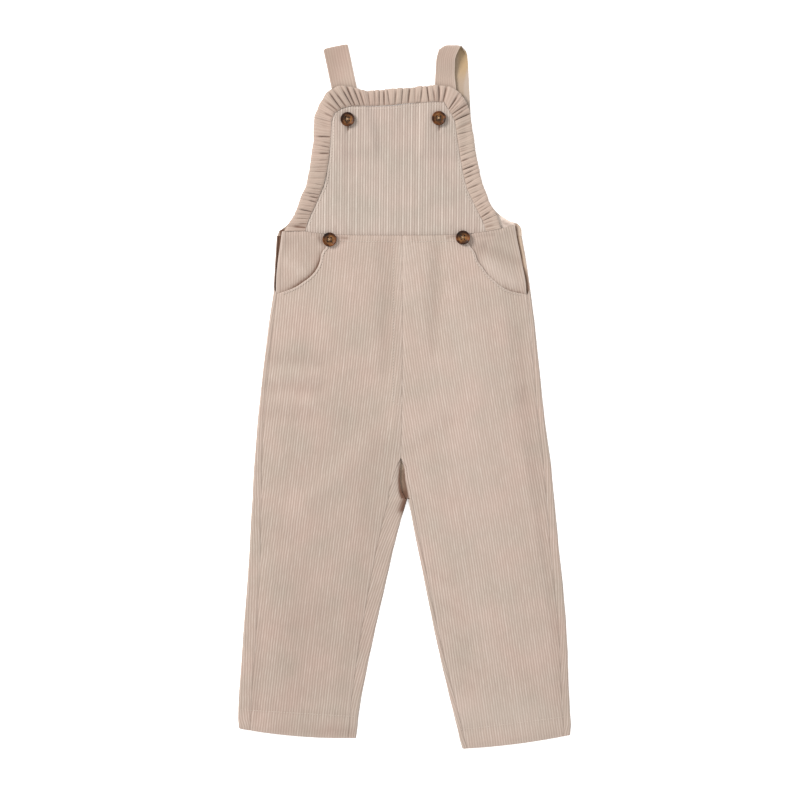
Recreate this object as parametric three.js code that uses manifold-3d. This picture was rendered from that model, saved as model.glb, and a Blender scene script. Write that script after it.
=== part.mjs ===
// Toddler bib overalls in fine corduroy, laid flat on a table with the front up.
// Millimetres. X runs to the right and Y up the garment, as it is seen from above. Z is the height.
// Left and right are the viewer's. Tables give places from the middle of the garment's outline.
import * as THREE from "three";
import { mergeVertices } from "three/addons/utils/BufferGeometryUtils.js";
import Module from "manifold-3d";

const wasm = await Module();
wasm.setup();

// Cloth
const WALL = 1.3;
const SEAM_GAP = 0.3;
const LAYER_GAP = 0.5;
const FOLD_RADIUS = 2.3;
const EDGE_TOP = 2 * FOLD_RADIUS;
const PUFF = 0.9;
const PUFF_REACH = 28;
const SEAM_DIP = 0.4;
const HEM_DEPTH = 19;

// Bib, ruffle and straps
const BIB_LOW = 3.8;
const BIB_RISE = 1.3;
const BIB_RISE_FROM = 205;
const STRAP_WALL = 1.8;
const STRAP_FRONT_TOP = 4.3;
const STRAP_WIDTH = 24.5;
const STRAP_SETTLE = 34;
const CUSHION = STRAP_FRONT_TOP + LAYER_GAP + WALL - BIB_LOW;
const CUSHION_HALF_WIDTH = 24;
const CUSHION_SIDE = 9;
const CUSHION_FOOT_Y = 232;
const CUSHION_FOOT = 18;
const RUFFLE_WALL = 1.5;
const RUFFLE_VALLEY = 0.2;
const PUFF_HEIGHT = 1.7;
const PUFF_VARIATION = 0.6;
const SCALLOP = 0.8;

// Buttons
const BUTTON_RADIUS = 7;
const BUTTON_THICK = 3;
const BUTTON_HOLE_RADIUS = 0.9;
const BUTTON_HOLE_OFFSET = 1.7;
const BUTTON_CHAMFER = 0.9;
const BUTTON_RIM = 0.9;
const BUTTON_SIDES = 24;
const HOLE_SIDES = 8;

const CORDUROY = { color: 0xccbaaf, roughness: 0.95, metalness: 0 };
const TORTOISESHELL = { color: 0x5a3318, roughness: 0.3, metalness: 0 };

// The waist seam, nearly straight across the front and rising to the sides.
const WAIST_Y = 160;
const WAIST_RISE = 4;
const WAIST_MIDDLE_X = -8;
const WAIST_HALF = 92;
const WAIST_CAP = { left: 1, right: 1.3 };

// The line of the seam that joins the two back panels, from the waist to where the legs part.
const CENTRE_BACK = { waistX: 0, forkX: 3.5, waistY: 160, forkY: -103.5 };

// One row for each section across a leg, from the waist to the hem. out is the folded outer edge,
// in the inner limit of the upper layer, wrapOut and wrapIn how far the back panel comes round
// each edge onto the front, and curl how far round, in degrees, the outer edge is rolled.
const LEGS = {
  left: [
    { outX: -127.5, outY: 159.5, inX: -1.8, inY: 159.5, wrapOut: 0, wrapIn: 0, curl: 95 },
    { outX: -128.5, outY: 143.5, inX: -1.8, inY: 143.5, wrapOut: 0, wrapIn: 0, curl: 95 },
    { outX: -129.5, outY: 127.5, inX: -1.8, inY: 127.5, wrapOut: 0, wrapIn: 0, curl: 95 },
    { outX: -130.5, outY: 110, inX: -1.8, inY: 110, wrapOut: 0, wrapIn: 0, curl: 110 },
    { outX: -131, outY: 101.5, inX: -1.8, inY: 101.5, wrapOut: 4, wrapIn: 0, curl: 180 },
    { outX: -135.5, outY: 71.5, inX: -1.8, inY: 71.5, wrapOut: 4.5, wrapIn: 0, curl: 180 },
    { outX: -141.5, outY: 23.5, inX: -2, inY: 23.5, wrapOut: 5.5, wrapIn: 0, curl: 180 },
    { outX: -146.5, outY: -24.5, inX: -2.5, inY: -24.5, wrapOut: 6.5, wrapIn: 0, curl: 180 },
    { outX: -149.5, outY: -62.5, inX: -3.5, inY: -62.5, wrapOut: 7.5, wrapIn: 0, curl: 180 },
    { outX: -150.2, outY: -71, inX: -4, inY: -71, wrapOut: 8, wrapIn: 4, curl: 180 },
    { outX: -151, outY: -84.5, inX: -4.4, inY: -84.5, wrapOut: 8.5, wrapIn: 7.5, curl: 180 },
    { outX: -151.6, outY: -96, inX: -2.5, inY: -96, wrapOut: 9, wrapIn: 12.7, curl: 180 },
    { outX: -151.8, outY: -102, inX: 0.8, inY: -102, wrapOut: 9, wrapIn: 16.6, curl: 180 },
    { outX: -151.8, outY: -103.5, inX: 3.3, inY: -103.5, wrapOut: 9.2, wrapIn: 19, curl: 180 },
    { outX: -153.5, outY: -127.5, inX: -3.5, inY: -125.5, wrapOut: 10, wrapIn: 18, curl: 180 },
    { outX: -154.5, outY: -150.5, inX: -10.5, inY: -152.5, wrapOut: 11, wrapIn: 17, curl: 180 },
    { outX: -157, outY: -188.5, inX: -19, inY: -190.5, wrapOut: 12, wrapIn: 16, curl: 180 },
    { outX: -160, outY: -224.5, inX: -27.5, inY: -227.5, wrapOut: 13, wrapIn: 14, curl: 180 },
    { outX: -162.5, outY: -260.5, inX: -35.5, inY: -265, wrapOut: 13, wrapIn: 12, curl: 180 },
    { outX: -165, outY: -295.5, inX: -42.5, inY: -300.5, wrapOut: 13, wrapIn: 10, curl: 180 },
    { outX: -166, outY: -312.5, inX: -45.5, inY: -319.5, wrapOut: 13, wrapIn: 9, curl: 180 },
    { outX: -166.2, outY: -322.5, inX: -46.5, inY: -330.5, wrapOut: 13, wrapIn: 8.5, curl: 180 },
    { outX: -165.3, outY: -332.5, inX: -48, inY: -342, wrapOut: 11.5, wrapIn: 8, curl: 180 },
  ],
  right: [
    { outX: 117.5, outY: 159.5, inX: -1.8, inY: 159.5, wrapOut: 0, wrapIn: 0, curl: 95 },
    { outX: 120.5, outY: 143.5, inX: -1.8, inY: 143.5, wrapOut: 0, wrapIn: 0, curl: 95 },
    { outX: 123, outY: 127.5, inX: -1.8, inY: 127.5, wrapOut: 0, wrapIn: 0, curl: 95 },
    { outX: 125.7, outY: 109, inX: -1.8, inY: 109, wrapOut: 0, wrapIn: 0, curl: 110 },
    { outX: 126.7, outY: 100.5, inX: -1.8, inY: 100.5, wrapOut: 4, wrapIn: 0, curl: 180 },
    { outX: 130.5, outY: 71.5, inX: -1.8, inY: 71.5, wrapOut: 5, wrapIn: 0, curl: 180 },
    { outX: 135.5, outY: 23.5, inX: -2, inY: 23.5, wrapOut: 6, wrapIn: 0, curl: 180 },
    { outX: 140.5, outY: -24.5, inX: -2.5, inY: -24.5, wrapOut: 7, wrapIn: 0, curl: 180 },
    { outX: 146, outY: -62.5, inX: -3.5, inY: -62.5, wrapOut: 7.5, wrapIn: 0, curl: 180 },
    { outX: 147, outY: -71, inX: -0.7, inY: -71, wrapOut: 7.5, wrapIn: 3, curl: 180 },
    { outX: 148.2, outY: -84.5, inX: 0.2, inY: -84.5, wrapOut: 8, wrapIn: 3.5, curl: 180 },
    { outX: 149.3, outY: -96, inX: 2.4, inY: -96, wrapOut: 8, wrapIn: 4, curl: 180 },
    { outX: 149.8, outY: -102, inX: 3.5, inY: -102, wrapOut: 8, wrapIn: 4, curl: 180 },
    { outX: 150, outY: -103.5, inX: 3.9, inY: -103.5, wrapOut: 8, wrapIn: 4, curl: 180 },
    { outX: 152.5, outY: -128.5, inX: 8.5, inY: -128.5, wrapOut: 8.5, wrapIn: 4, curl: 180 },
    { outX: 154.5, outY: -151.5, inX: 13.5, inY: -153.5, wrapOut: 9, wrapIn: 4, curl: 180 },
    { outX: 158.5, outY: -187.5, inX: 21, inY: -190.5, wrapOut: 9, wrapIn: 4, curl: 180 },
    { outX: 161.5, outY: -221.5, inX: 28.5, inY: -228.5, wrapOut: 8.5, wrapIn: 4, curl: 180 },
    { outX: 163.5, outY: -256.5, inX: 36.5, inY: -265.5, wrapOut: 8, wrapIn: 4.5, curl: 180 },
    { outX: 164.5, outY: -290.5, inX: 45.5, inY: -303, wrapOut: 8, wrapIn: 5, curl: 180 },
    { outX: 166, outY: -318, inX: 52.7, inY: -332, wrapOut: 8, wrapIn: 5, curl: 180 },
    { outX: 166.8, outY: -328, inX: 55, inY: -342.5, wrapOut: 8, wrapIn: 5, curl: 180 },
    { outX: 166, outY: -339, inX: 58, inY: -352.8, wrapOut: 7.5, wrapIn: 5, curl: 180 },
  ],
};
const FIRST_CLOSED_ROW = 4;
const FIRST_TONGUE_ROW = 9;
const FORK_ROW = 13;
const HEM_BOW = { left: -3, right: -2 };
const GROOVE_DEPTH = 1.6;

// The edge of each front pocket, from the waist seam down and round to the side.
const POCKET_EDGE = {
  left: [
    { x: -73, y: 159.8 },
    { x: -75, y: 153.5 },
    { x: -78, y: 148 },
    { x: -82.5, y: 142 },
    { x: -84, y: 134.5 },
    { x: -86.5, y: 128 },
    { x: -90, y: 122.5 },
    { x: -95, y: 117.5 },
    { x: -100.5, y: 113.5 },
    { x: -107.5, y: 108.8 },
    { x: -116, y: 105 },
    { x: -122.5, y: 102.9 },
  ],
  right: [
    { x: 61.5, y: 159.8 },
    { x: 63, y: 153.5 },
    { x: 65, y: 149.5 },
    { x: 70, y: 143.5 },
    { x: 73.5, y: 134 },
    { x: 78.5, y: 127.5 },
    { x: 83, y: 121 },
    { x: 89, y: 115.5 },
    { x: 96, y: 109.5 },
    { x: 104.5, y: 104.8 },
    { x: 112, y: 102.8 },
    { x: 118.5, y: 101.6 },
  ],
};

// The side pieces that show in the pockets and end about 12 mm behind the pocket edge.
const HIPS = {
  left: [
    { outX: -122, outY: 163.8, inX: -60, inY: 160.3 },
    { outX: -124.3, outY: 148, inX: -65, inY: 146 },
    { outX: -126.3, outY: 134, inX: -71, inY: 133 },
    { outX: -127.5, outY: 122, inX: -77, inY: 121 },
    { outX: -128, outY: 112, inX: -88, inY: 110 },
    { outX: -128.2, outY: 102, inX: -103, inY: 100 },
    { outX: -129, outY: 93, inX: -119, inY: 91 },
  ],
  right: [
    { outX: 111.5, outY: 171, inX: 49, inY: 160.3 },
    { outX: 114, outY: 157, inX: 52, inY: 149 },
    { outX: 117, outY: 143, inX: 60, inY: 139 },
    { outX: 120, outY: 128, inX: 70, inY: 125 },
    { outX: 122.7, outY: 114, inX: 82, inY: 110 },
    { outX: 123.4, outY: 104, inX: 97, inY: 100 },
    { outX: 124.7, outY: 95, inX: 112, inY: 91 },
  ],
};

// The bib inside its ruffle, from the waist seam to the top edge.
const BIB = [
  { outX: -99.5, outY: 164, inX: 82.5, inY: 164 },
  { outX: -93.5, outY: 179.5, inX: 78.5, inY: 173.5 },
  { outX: -87.5, outY: 192.5, inX: 69.5, inY: 191.5 },
  { outX: -80.5, outY: 209.5, inX: 62.5, inY: 206.5 },
  { outX: -77.5, outY: 222.5, inX: 59, inY: 220.5 },
  { outX: -75.5, outY: 234.5, inX: 56.5, inY: 233.5 },
  { outX: -73.5, outY: 252.5, inX: 53.5, inY: 252.5 },
  { outX: -72.5, outY: 273.5, inX: 50.5, inY: 273.5 },
  { outX: -69.5, outY: 281.5, inX: 47.5, inY: 279.5 },
  { outX: -62.5, outY: 286.2, inX: 44, inY: 285.5 },
  { outX: -52.5, outY: 288.6, inX: 39.5, inY: 292.4 },
];
const BIB_TOP_Y = { left: 288.6, rise: 4.2, from: -25, over: 50 };

// The back bib, from the back of the waist to the top edge that carries the straps.
const BACK_BIB = [
  { outX: -127, outY: 160, inX: 117.6, inY: 160 },
  { outX: -125, outY: 164.5, inX: 117.2, inY: 165.5 },
  { outX: -119.5, outY: 168.2, inX: 116, inY: 169 },
  { outX: -116, outY: 171.5, inX: 113.5, inY: 171.8 },
  { outX: -113, outY: 174, inX: 106.5, inY: 174 },
  { outX: -106, outY: 183.5, inX: 92, inY: 183.5 },
  { outX: -98.5, outY: 197.5, inX: 82.5, inY: 197.5 },
  { outX: -91.5, outY: 215.5, inX: 73.5, inY: 215.5 },
  { outX: -86.5, outY: 230.5, inX: 70, inY: 230.5 },
  { outX: -83.5, outY: 245.5, inX: 68.5, inY: 245.5 },
];

// The ruffle, along its seam from the left end over the top of the bib to the right end.
// gathers counts the puffs up to the next row, and height is how far they stand up.
const RUFFLE = [
  { seamX: -99.5, seamY: 164.6, edgeX: -120.3, edgeY: 165, gathers: 4, height: 0.7 },
  { seamX: -93.5, seamY: 179.5, edgeX: -110, edgeY: 180.5, gathers: 3, height: 0.9 },
  { seamX: -87.5, seamY: 192.5, edgeX: -104, edgeY: 195.5, gathers: 4, height: 1 },
  { seamX: -80.5, seamY: 209.5, edgeX: -98, edgeY: 210, gathers: 2, height: 1 },
  { seamX: -77.5, seamY: 222.5, edgeX: -95, edgeY: 223, gathers: 2, height: 1 },
  { seamX: -75.5, seamY: 234.5, edgeX: -93.3, edgeY: 235.5, gathers: 3, height: 1 },
  { seamX: -73.5, seamY: 252.5, edgeX: -91.2, edgeY: 254, gathers: 3, height: 1 },
  { seamX: -72.5, seamY: 273.5, edgeX: -89.5, edgeY: 278.5, gathers: 2, height: 1.1 },
  { seamX: -69.5, seamY: 281.5, edgeX: -85, edgeY: 291, gathers: 2, height: 1.1 },
  { seamX: -62.5, seamY: 286.2, edgeX: -77, edgeY: 303, gathers: 2, height: 1.2 },
  { seamX: -52.5, seamY: 288.8, edgeX: -65, edgeY: 309.3, gathers: 2, height: 1.3 },
  { seamX: -43.5, seamY: 288.8, edgeX: -48.5, edgeY: 306.7, gathers: 2, height: 1.3 },
  { seamX: -34.5, seamY: 288.8, edgeX: -36, edgeY: 304, gathers: 4, height: 1.3 },
  { seamX: -14.5, seamY: 289.4, edgeX: -15.5, edgeY: 306, gathers: 3, height: 1.2 },
  { seamX: 4.5, seamY: 291.6, edgeX: 4.5, edgeY: 307.5, gathers: 4, height: 1.2 },
  { seamX: 30.5, seamY: 293, edgeX: 30.5, edgeY: 310, gathers: 2, height: 1.3 },
  { seamX: 39.7, seamY: 292.6, edgeX: 45, edgeY: 308, gathers: 1, height: 1.2 },
  { seamX: 44, seamY: 285.5, edgeX: 56, edgeY: 302, gathers: 2, height: 1 },
  { seamX: 47.5, seamY: 279.5, edgeX: 63.5, edgeY: 290, gathers: 2, height: 1 },
  { seamX: 50.5, seamY: 273.5, edgeX: 66.3, edgeY: 281, gathers: 3, height: 1 },
  { seamX: 53.5, seamY: 252.5, edgeX: 69.7, edgeY: 255, gathers: 4, height: 1.2 },
  { seamX: 56.5, seamY: 233.5, edgeX: 73, edgeY: 235.5, gathers: 3, height: 1.2 },
  { seamX: 59, seamY: 220.5, edgeX: 75, edgeY: 222.5, gathers: 3, height: 1 },
  { seamX: 62.5, seamY: 206.5, edgeX: 79.5, edgeY: 209.5, gathers: 3, height: 1 },
  { seamX: 69.5, seamY: 191.5, edgeX: 85.5, edgeY: 194.5, gathers: 4, height: 1.2 },
  { seamX: 78.5, seamY: 173.5, edgeX: 95, edgeY: 180, gathers: 2, height: 0.9 },
  { seamX: 82.7, seamY: 165, edgeX: 100, edgeY: 169.5, gathers: 0, height: 0.7 },
];

// The straps. top is the middle of the fold, the leans are sideways millimetres for each one down.
const STRAPS = {
  left: { backX: -68.3, frontX: -68.3, topY: 347, backLean: 0.206, frontLean: 0.206, radius: 2.2 },
  right: { backX: 50.8, frontX: 44.5, topY: 346.5, backLean: 0.05, frontLean: -0.09, radius: 3.5 },
};
const STRAP_FRONT_END_Y = 258;
const STRAP_BACK_END_Y = 245.5 + SEAM_GAP;

// Soft folds in the front of the legs: a trough where height is below 0, a ridge above.
const FOLDS = [
  { x1: -18.5, y1: 148, x2: -18.5, y2: 22, width: 8, height: -0.9 },
  { x1: 33, y1: 148, x2: 31, y2: 45, width: 8, height: -0.9 },
  { x1: -138, y1: 37, x2: -80, y2: 34, width: 8, height: -0.9 },
  { x1: -140, y1: 10, x2: -86, y2: 7, width: 8, height: -0.9 },
  { x1: -142, y1: -17, x2: -92, y2: -20, width: 8, height: -0.8 },
  { x1: -110, y1: -116, x2: -38, y2: -50, width: 13, height: 0.8 },
  { x1: 108, y1: 104, x2: 121, y2: -5, width: 8, height: -0.8 },
  { x1: 121, y1: -5, x2: 138, y2: -102, width: 8, height: -0.8 },
  { x1: -8, y1: -58, x2: -58, y2: -22, width: 8, height: -0.6 },
  { x1: 2, y1: -60, x2: 50, y2: -26, width: 8, height: -0.6 },
];

const BUTTONS = {
  button_bib_left: { x: -56.5, y: 275.5 },
  button_bib_right: { x: 34.5, y: 276.5 },
  button_waist_left: { x: -74.5, y: 155.5 },
  button_waist_right: { x: 58.5, y: 157.5 },
};

const overalls = new THREE.Group();

const mix = (a, b, t) => a + (b - a) * t;
const clamp01 = (t) => Math.min(1, Math.max(0, t));
const soften = (t) => clamp01(t) ** 2 * (3 - 2 * clamp01(t));

function mixRows(a, b, t) {
  return Object.fromEntries(Object.keys(a).map((key) => [key, mix(a[key], b[key], t)]));
}

// The row of a table at a height, between the two rows around it.
function rowAt(rows, name, y) {
  const falling = rows[0][name] > rows[1][name] ? 1 : -1;
  let i = 0;
  while (i < rows.length - 2 && falling * (rows[i + 1][name] - y) > 0) i++;
  const t = (y - rows[i][name]) / (rows[i + 1][name] - rows[i][name]);
  return mixRows(rows[i], rows[i + 1], clamp01(t));
}

function waistY(x) {
  const cap = x < WAIST_MIDDLE_X ? WAIST_CAP.left : WAIST_CAP.right;
  const away = Math.min(Math.abs(x - WAIST_MIDDLE_X) / WAIST_HALF, cap);
  return WAIST_Y + WAIST_RISE * away ** 4;
}

function addMesh(name, geometry, finish) {
  const mesh = new THREE.Mesh(geometry, new THREE.MeshStandardMaterial(finish));
  mesh.name = name;
  overalls.add(mesh);
}

function volumeOf(points, triangles) {
  let volume = 0;
  for (let i = 0; i < triangles.length; i += 3) {
    const [a, b, c] = triangles.slice(i, i + 3).map((index) => points[index]);
    volume += a.dot(new THREE.Vector3().crossVectors(b, c)) / 6;
  }
  return volume;
}

// A cloth wall over a grid. pair(i, j) gives the face point and the lining point of one place,
// and has(i, j) says whether the cell beyond that place is cloth. Open rims are closed.
function addCloth(name, rowCount, columnCount, pair, has = () => true) {
  const points = [];
  const indexOf = new Map();
  const triangles = [];
  const inGrid = (i, j) => i >= 0 && j >= 0 && i < rowCount - 1 && j < columnCount - 1;
  const filled = (i, j) => inGrid(i, j) && has(i, j);
  const vertex = (side, [i, j]) => {
    const key = `${side} ${i} ${j}`;
    if (!indexOf.has(key)) {
      indexOf.set(key, points.length);
      points.push(pair(i, j)[side]);
    }
    return indexOf.get(key);
  };
  const quad = (a, b, c, d) => triangles.push(a, b, c, a, c, d);
  for (let i = 0; i < rowCount - 1; i++) {
    for (let j = 0; j < columnCount - 1; j++) {
      if (!filled(i, j)) continue;
      const corners = [[i, j], [i, j + 1], [i + 1, j + 1], [i + 1, j]];
      const neighbours = [[i - 1, j], [i, j + 1], [i + 1, j], [i, j - 1]];
      quad(...corners.map((corner) => vertex(0, corner)));
      quad(...corners.map((corner) => vertex(1, corner)).reverse());
      neighbours.forEach((neighbour, k) => {
        if (filled(...neighbour)) return;
        const a = corners[k];
        const b = corners[(k + 1) % 4];
        quad(vertex(0, b), vertex(0, a), vertex(1, a), vertex(1, b));
      });
    }
  }
  if (volumeOf(points, triangles) < 0) triangles.reverse();
  const geometry = new THREE.BufferGeometry().setFromPoints(points);
  geometry.setIndex(triangles);
  addMesh(name, geometry, CORDUROY);
}

// Rows added between those of a table, so that no two lie further apart than a step.
function refine(rows, name, step) {
  const finer = [rows[0]];
  for (let i = 1; i < rows.length; i++) {
    const parts = Math.ceil(Math.abs(rows[i][name] - rows[i - 1][name]) / step);
    for (let k = 1; k <= parts; k++) finer.push(mixRows(rows[i - 1], rows[i], k / parts));
  }
  return finer;
}

function foldHeight(x, y) {
  return FOLDS.reduce((sum, { x1, y1, x2, y2, width, height }) => {
    const along = ((x - x1) * (x2 - x1) + (y - y1) * (y2 - y1)) / ((x2 - x1) ** 2 + (y2 - y1) ** 2);
    const t = clamp01(along);
    const away = Math.hypot(x - mix(x1, x2, t), y - mix(y1, y2, t));
    return sum + height * Math.exp(-((away / width) ** 2));
  }, 0);
}

// Height of the upper face of the front at a place: rounded down to both folded edges.
function frontTop(side, x, y) {
  const row = rowAt(LEGS[side], "outY", y);
  const fork = LEGS[side][FORK_ROW];
  const crotch = LEGS[side][FIRST_TONGUE_ROW - 1];
  const fromOuter = soften((Math.abs(x - row.outX) - FOLD_RADIUS) / PUFF_REACH);
  const fromInner = soften((Math.abs(x - row.inX) - FOLD_RADIUS) / PUFF_REACH);
  const forked = clamp01((crotch.outY - y) / (crotch.outY - fork.outY));
  return EDGE_TOP + (PUFF + foldHeight(x, y)) * fromOuter * mix(1, fromInner, forked);
}

// A place on a leg's section line, at a distance from its outer fold.
function onSection(side, row, distance, z) {
  const outer = new THREE.Vector2(row.outX, row.outY);
  const across = new THREE.Vector2(row.inX, row.inY).sub(outer);
  const width = across.length();
  const place = outer.add(across.setLength(distance));
  const last = LEGS[side].at(-1);
  const nearHem = clamp01(1 - (row.outY - last.outY) / HEM_DEPTH);
  const u = clamp01(distance / width);
  return new THREE.Vector3(place.x, place.y + HEM_BOW[side] * nearHem * 4 * u * (1 - u), z);
}

const sectionWidth = (row) => Math.hypot(row.inX - row.outX, row.inY - row.outY);

// The back of one leg: flat on the table, rolled round both edges of the leg onto the front.
const WRAP_COLUMNS = 2;
const ARC_COLUMNS = 4;
const FLAT_COLUMNS = 6;
const OUTER_ARC = WRAP_COLUMNS;
const OUTER_FLAT = OUTER_ARC + ARC_COLUMNS;
const INNER_FLAT = OUTER_FLAT + FLAT_COLUMNS;
const INNER_ARC = INNER_FLAT + ARC_COLUMNS;
const BACK_COLUMNS = INNER_ARC + WRAP_COLUMNS + 1;

function addLegBack(side) {
  const rows = LEGS[side];
  const centreSide = side === "left" ? -1 : 1;
  const top = (row, distance) => {
    const place = onSection(side, row, distance, 0);
    return frontTop(side, place.x, place.y);
  };
  const arc = (edge, inward, degrees) => {
    const angle = THREE.MathUtils.degToRad(degrees);
    const centre = edge + inward * FOLD_RADIUS;
    return [FOLD_RADIUS, FOLD_RADIUS - WALL].map((radius) => [
      centre - inward * radius * Math.sin(angle),
      FOLD_RADIUS - radius * Math.cos(angle),
    ]);
  };
  const upper = (row, distance, dip) => {
    const z = top(row, distance) - dip;
    return [[distance, z], [distance, z - WALL]];
  };
  const section = (row, i, j) => {
    const width = sectionWidth(row);
    const forked = i >= FORK_ROW;
    if (j < OUTER_ARC) {
      const t = j / WRAP_COLUMNS;
      return upper(row, mix(row.wrapOut - SEAM_GAP / 2, FOLD_RADIUS, t), j ? 0 : SEAM_DIP);
    }
    if (j < OUTER_FLAT) {
      return arc(0, 1, row.curl * (1 - (j - OUTER_ARC) / ARC_COLUMNS));
    }
    if (j > INNER_FLAT && j < INNER_ARC) {
      return arc(width, -1, (180 * (j - INNER_FLAT)) / ARC_COLUMNS);
    }
    if (j <= INNER_FLAT) {
      const t = (j - OUTER_FLAT) / FLAT_COLUMNS;
      const down = (CENTRE_BACK.waistY - row.outY) / (CENTRE_BACK.waistY - CENTRE_BACK.forkY);
      const seamX = mix(CENTRE_BACK.waistX, CENTRE_BACK.forkX, clamp01(down) ** 2);
      const seam = Math.abs(seamX + (centreSide * SEAM_GAP) / 2 - row.outX);
      const distance = mix(FOLD_RADIUS, forked ? width - FOLD_RADIUS : seam, t);
      return [[distance, 0], [distance, WALL]];
    }
    const t = (j - INNER_ARC) / WRAP_COLUMNS;
    const end = forked ? width - FOLD_RADIUS : width - SEAM_GAP;
    const groove = forked ? 0 : GROOVE_DEPTH * (1 - t);
    const dip = j === BACK_COLUMNS - 1 ? SEAM_DIP : groove;
    return upper(row, mix(end, width - row.wrapIn + SEAM_GAP / 2, t), dip);
  };
  const pair = (i, j) =>
    section(rows[i], i, j).map(([distance, z]) => onSection(side, rows[i], distance, z));
  const has = (i, j) => {
    if (j < OUTER_ARC) return i >= FIRST_CLOSED_ROW;
    if (j >= INNER_FLAT && j < INNER_ARC) return i >= FORK_ROW;
    return j < INNER_FLAT || i >= FIRST_TONGUE_ROW;
  };
  addCloth(`leg_back_${side}`, rows.length, BACK_COLUMNS, pair, has);
}

// The front of one leg: the pocket edge at the top, then the side seam, the inseam and the hem.
const FRONT_COLUMNS = 15;
const FRONT_ROW_STEP = 20;

function addLegFront(side) {
  const pocketRows = POCKET_EDGE[side].map(({ x, y }) => {
    const { inX } = rowAt(LEGS[side], "outY", y);
    return { outX: x, outY: y, inX, inY: y, wrapOut: 0, wrapIn: 0, curl: 180 };
  });
  const lower = refine(LEGS[side].slice(FIRST_CLOSED_ROW), "outY", FRONT_ROW_STEP);
  const rows = [...pocketRows, ...lower];
  const stitchY = LEGS[side].at(-3).outY;
  const pair = (i, j) => {
    const row = rows[i];
    const u = j / (FRONT_COLUMNS - 1);
    const from = row.wrapOut + SEAM_GAP / 2;
    const to = sectionWidth(row) - row.wrapIn - SEAM_GAP / 2;
    const place = onSection(side, row, mix(from, to, u), 0);
    if (i === 0) place.y = waistY(place.x) - SEAM_GAP / 2;
    const onPocket = i < pocketRows.length;
    const atSeam = (j === 0 && !onPocket) || j === FRONT_COLUMNS - 1 || i === 0;
    const dip = atSeam || row.outY === stitchY ? SEAM_DIP : 0;
    const z = frontTop(side, place.x, place.y) - dip;
    return [place.clone().setZ(z), place.clone().setZ(z - WALL)];
  };
  addCloth(`leg_front_${side}`, rows.length, FRONT_COLUMNS, pair);
}

// The side piece seen in the pocket opening: a layer below the front, made from its heights.
const HIP_COLUMNS = 9;
const HIP_ROW_STEP = 10;

function addHip(side) {
  const rows = refine(HIPS[side], "outY", HIP_ROW_STEP);
  const pair = (i, j) => {
    const row = rows[i];
    const u = j / (HIP_COLUMNS - 1);
    const place = new THREE.Vector3(mix(row.outX, row.inX, u), mix(row.outY, row.inY, u), 0);
    if (i === 0) place.y = waistY(place.x) - SEAM_GAP / 2;
    const z = frontTop(side, place.x, place.y) - WALL - LAYER_GAP;
    return [place.clone().setZ(z), place.clone().setZ(z - WALL)];
  };
  addCloth(`hip_${side}`, rows.length, HIP_COLUMNS, pair);
}

const strapX = (strap, part, y) => strap[`${part}X`] + strap[`${part}Lean`] * (strap.topY - y);

// How much the cloth over the front ends of the straps is held up.
function strapCushion(x, y) {
  const lift = (strap) => {
    const away = Math.abs(x - strapX(strap, "front", y));
    return soften((CUSHION_HALF_WIDTH - away) / CUSHION_SIDE);
  };
  const along = soften((y - CUSHION_FOOT_Y) / CUSHION_FOOT);
  return CUSHION * along * Math.max(lift(STRAPS.left), lift(STRAPS.right));
}

function bibTop(x, y) {
  const nearWaist = soften((BIB_RISE_FROM - y) / (BIB_RISE_FROM - WAIST_Y));
  return BIB_LOW + BIB_RISE * nearWaist + strapCushion(x, y);
}

const BIB_COLUMNS = 17;
const BIB_ROW_STEP = 12;

function addBibFront() {
  const rows = refine(BIB, "outY", BIB_ROW_STEP);
  const topY = (x) => BIB_TOP_Y.left + BIB_TOP_Y.rise * soften((x - BIB_TOP_Y.from) / BIB_TOP_Y.over);
  const pair = (i, j) => {
    const row = rows[i];
    const u = j / (BIB_COLUMNS - 1);
    const place = new THREE.Vector3(mix(row.outX, row.inX, u), mix(row.outY, row.inY, u), 0);
    if (i === 0) place.y = waistY(place.x) + SEAM_GAP / 2;
    if (i === rows.length - 1) place.y = topY(place.x);
    const z = bibTop(place.x, place.y);
    return [place.clone().setZ(z), place.clone().setZ(z - WALL)];
  };
  addCloth("bib_front", rows.length, BIB_COLUMNS, pair);
}

const BACK_BIB_COLUMNS = 7;

function addBibBack() {
  const pair = (i, j) => {
    const row = BACK_BIB[i];
    const u = j / (BACK_BIB_COLUMNS - 1);
    const place = new THREE.Vector3(mix(row.outX, row.inX, u), mix(row.outY, row.inY, u), 0);
    return [place.clone().setZ(WALL), place];
  };
  addCloth("bib_back", BACK_BIB.length, BACK_BIB_COLUMNS, pair);
}

// The gathered strip round the bib: one puff after another, with a sharp valley between two.
const PUFF_PLACES = [
  { at: 0, rise: 0 },
  { at: 0.22, rise: 0.75 },
  { at: 0.5, rise: 1 },
  { at: 0.78, rise: 0.75 },
];
const RUFFLE_ACROSS = [
  { t: 0, fullness: 0.35 },
  { t: 0.45, fullness: 1 },
  { t: 1, fullness: 0.7 },
];

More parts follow.
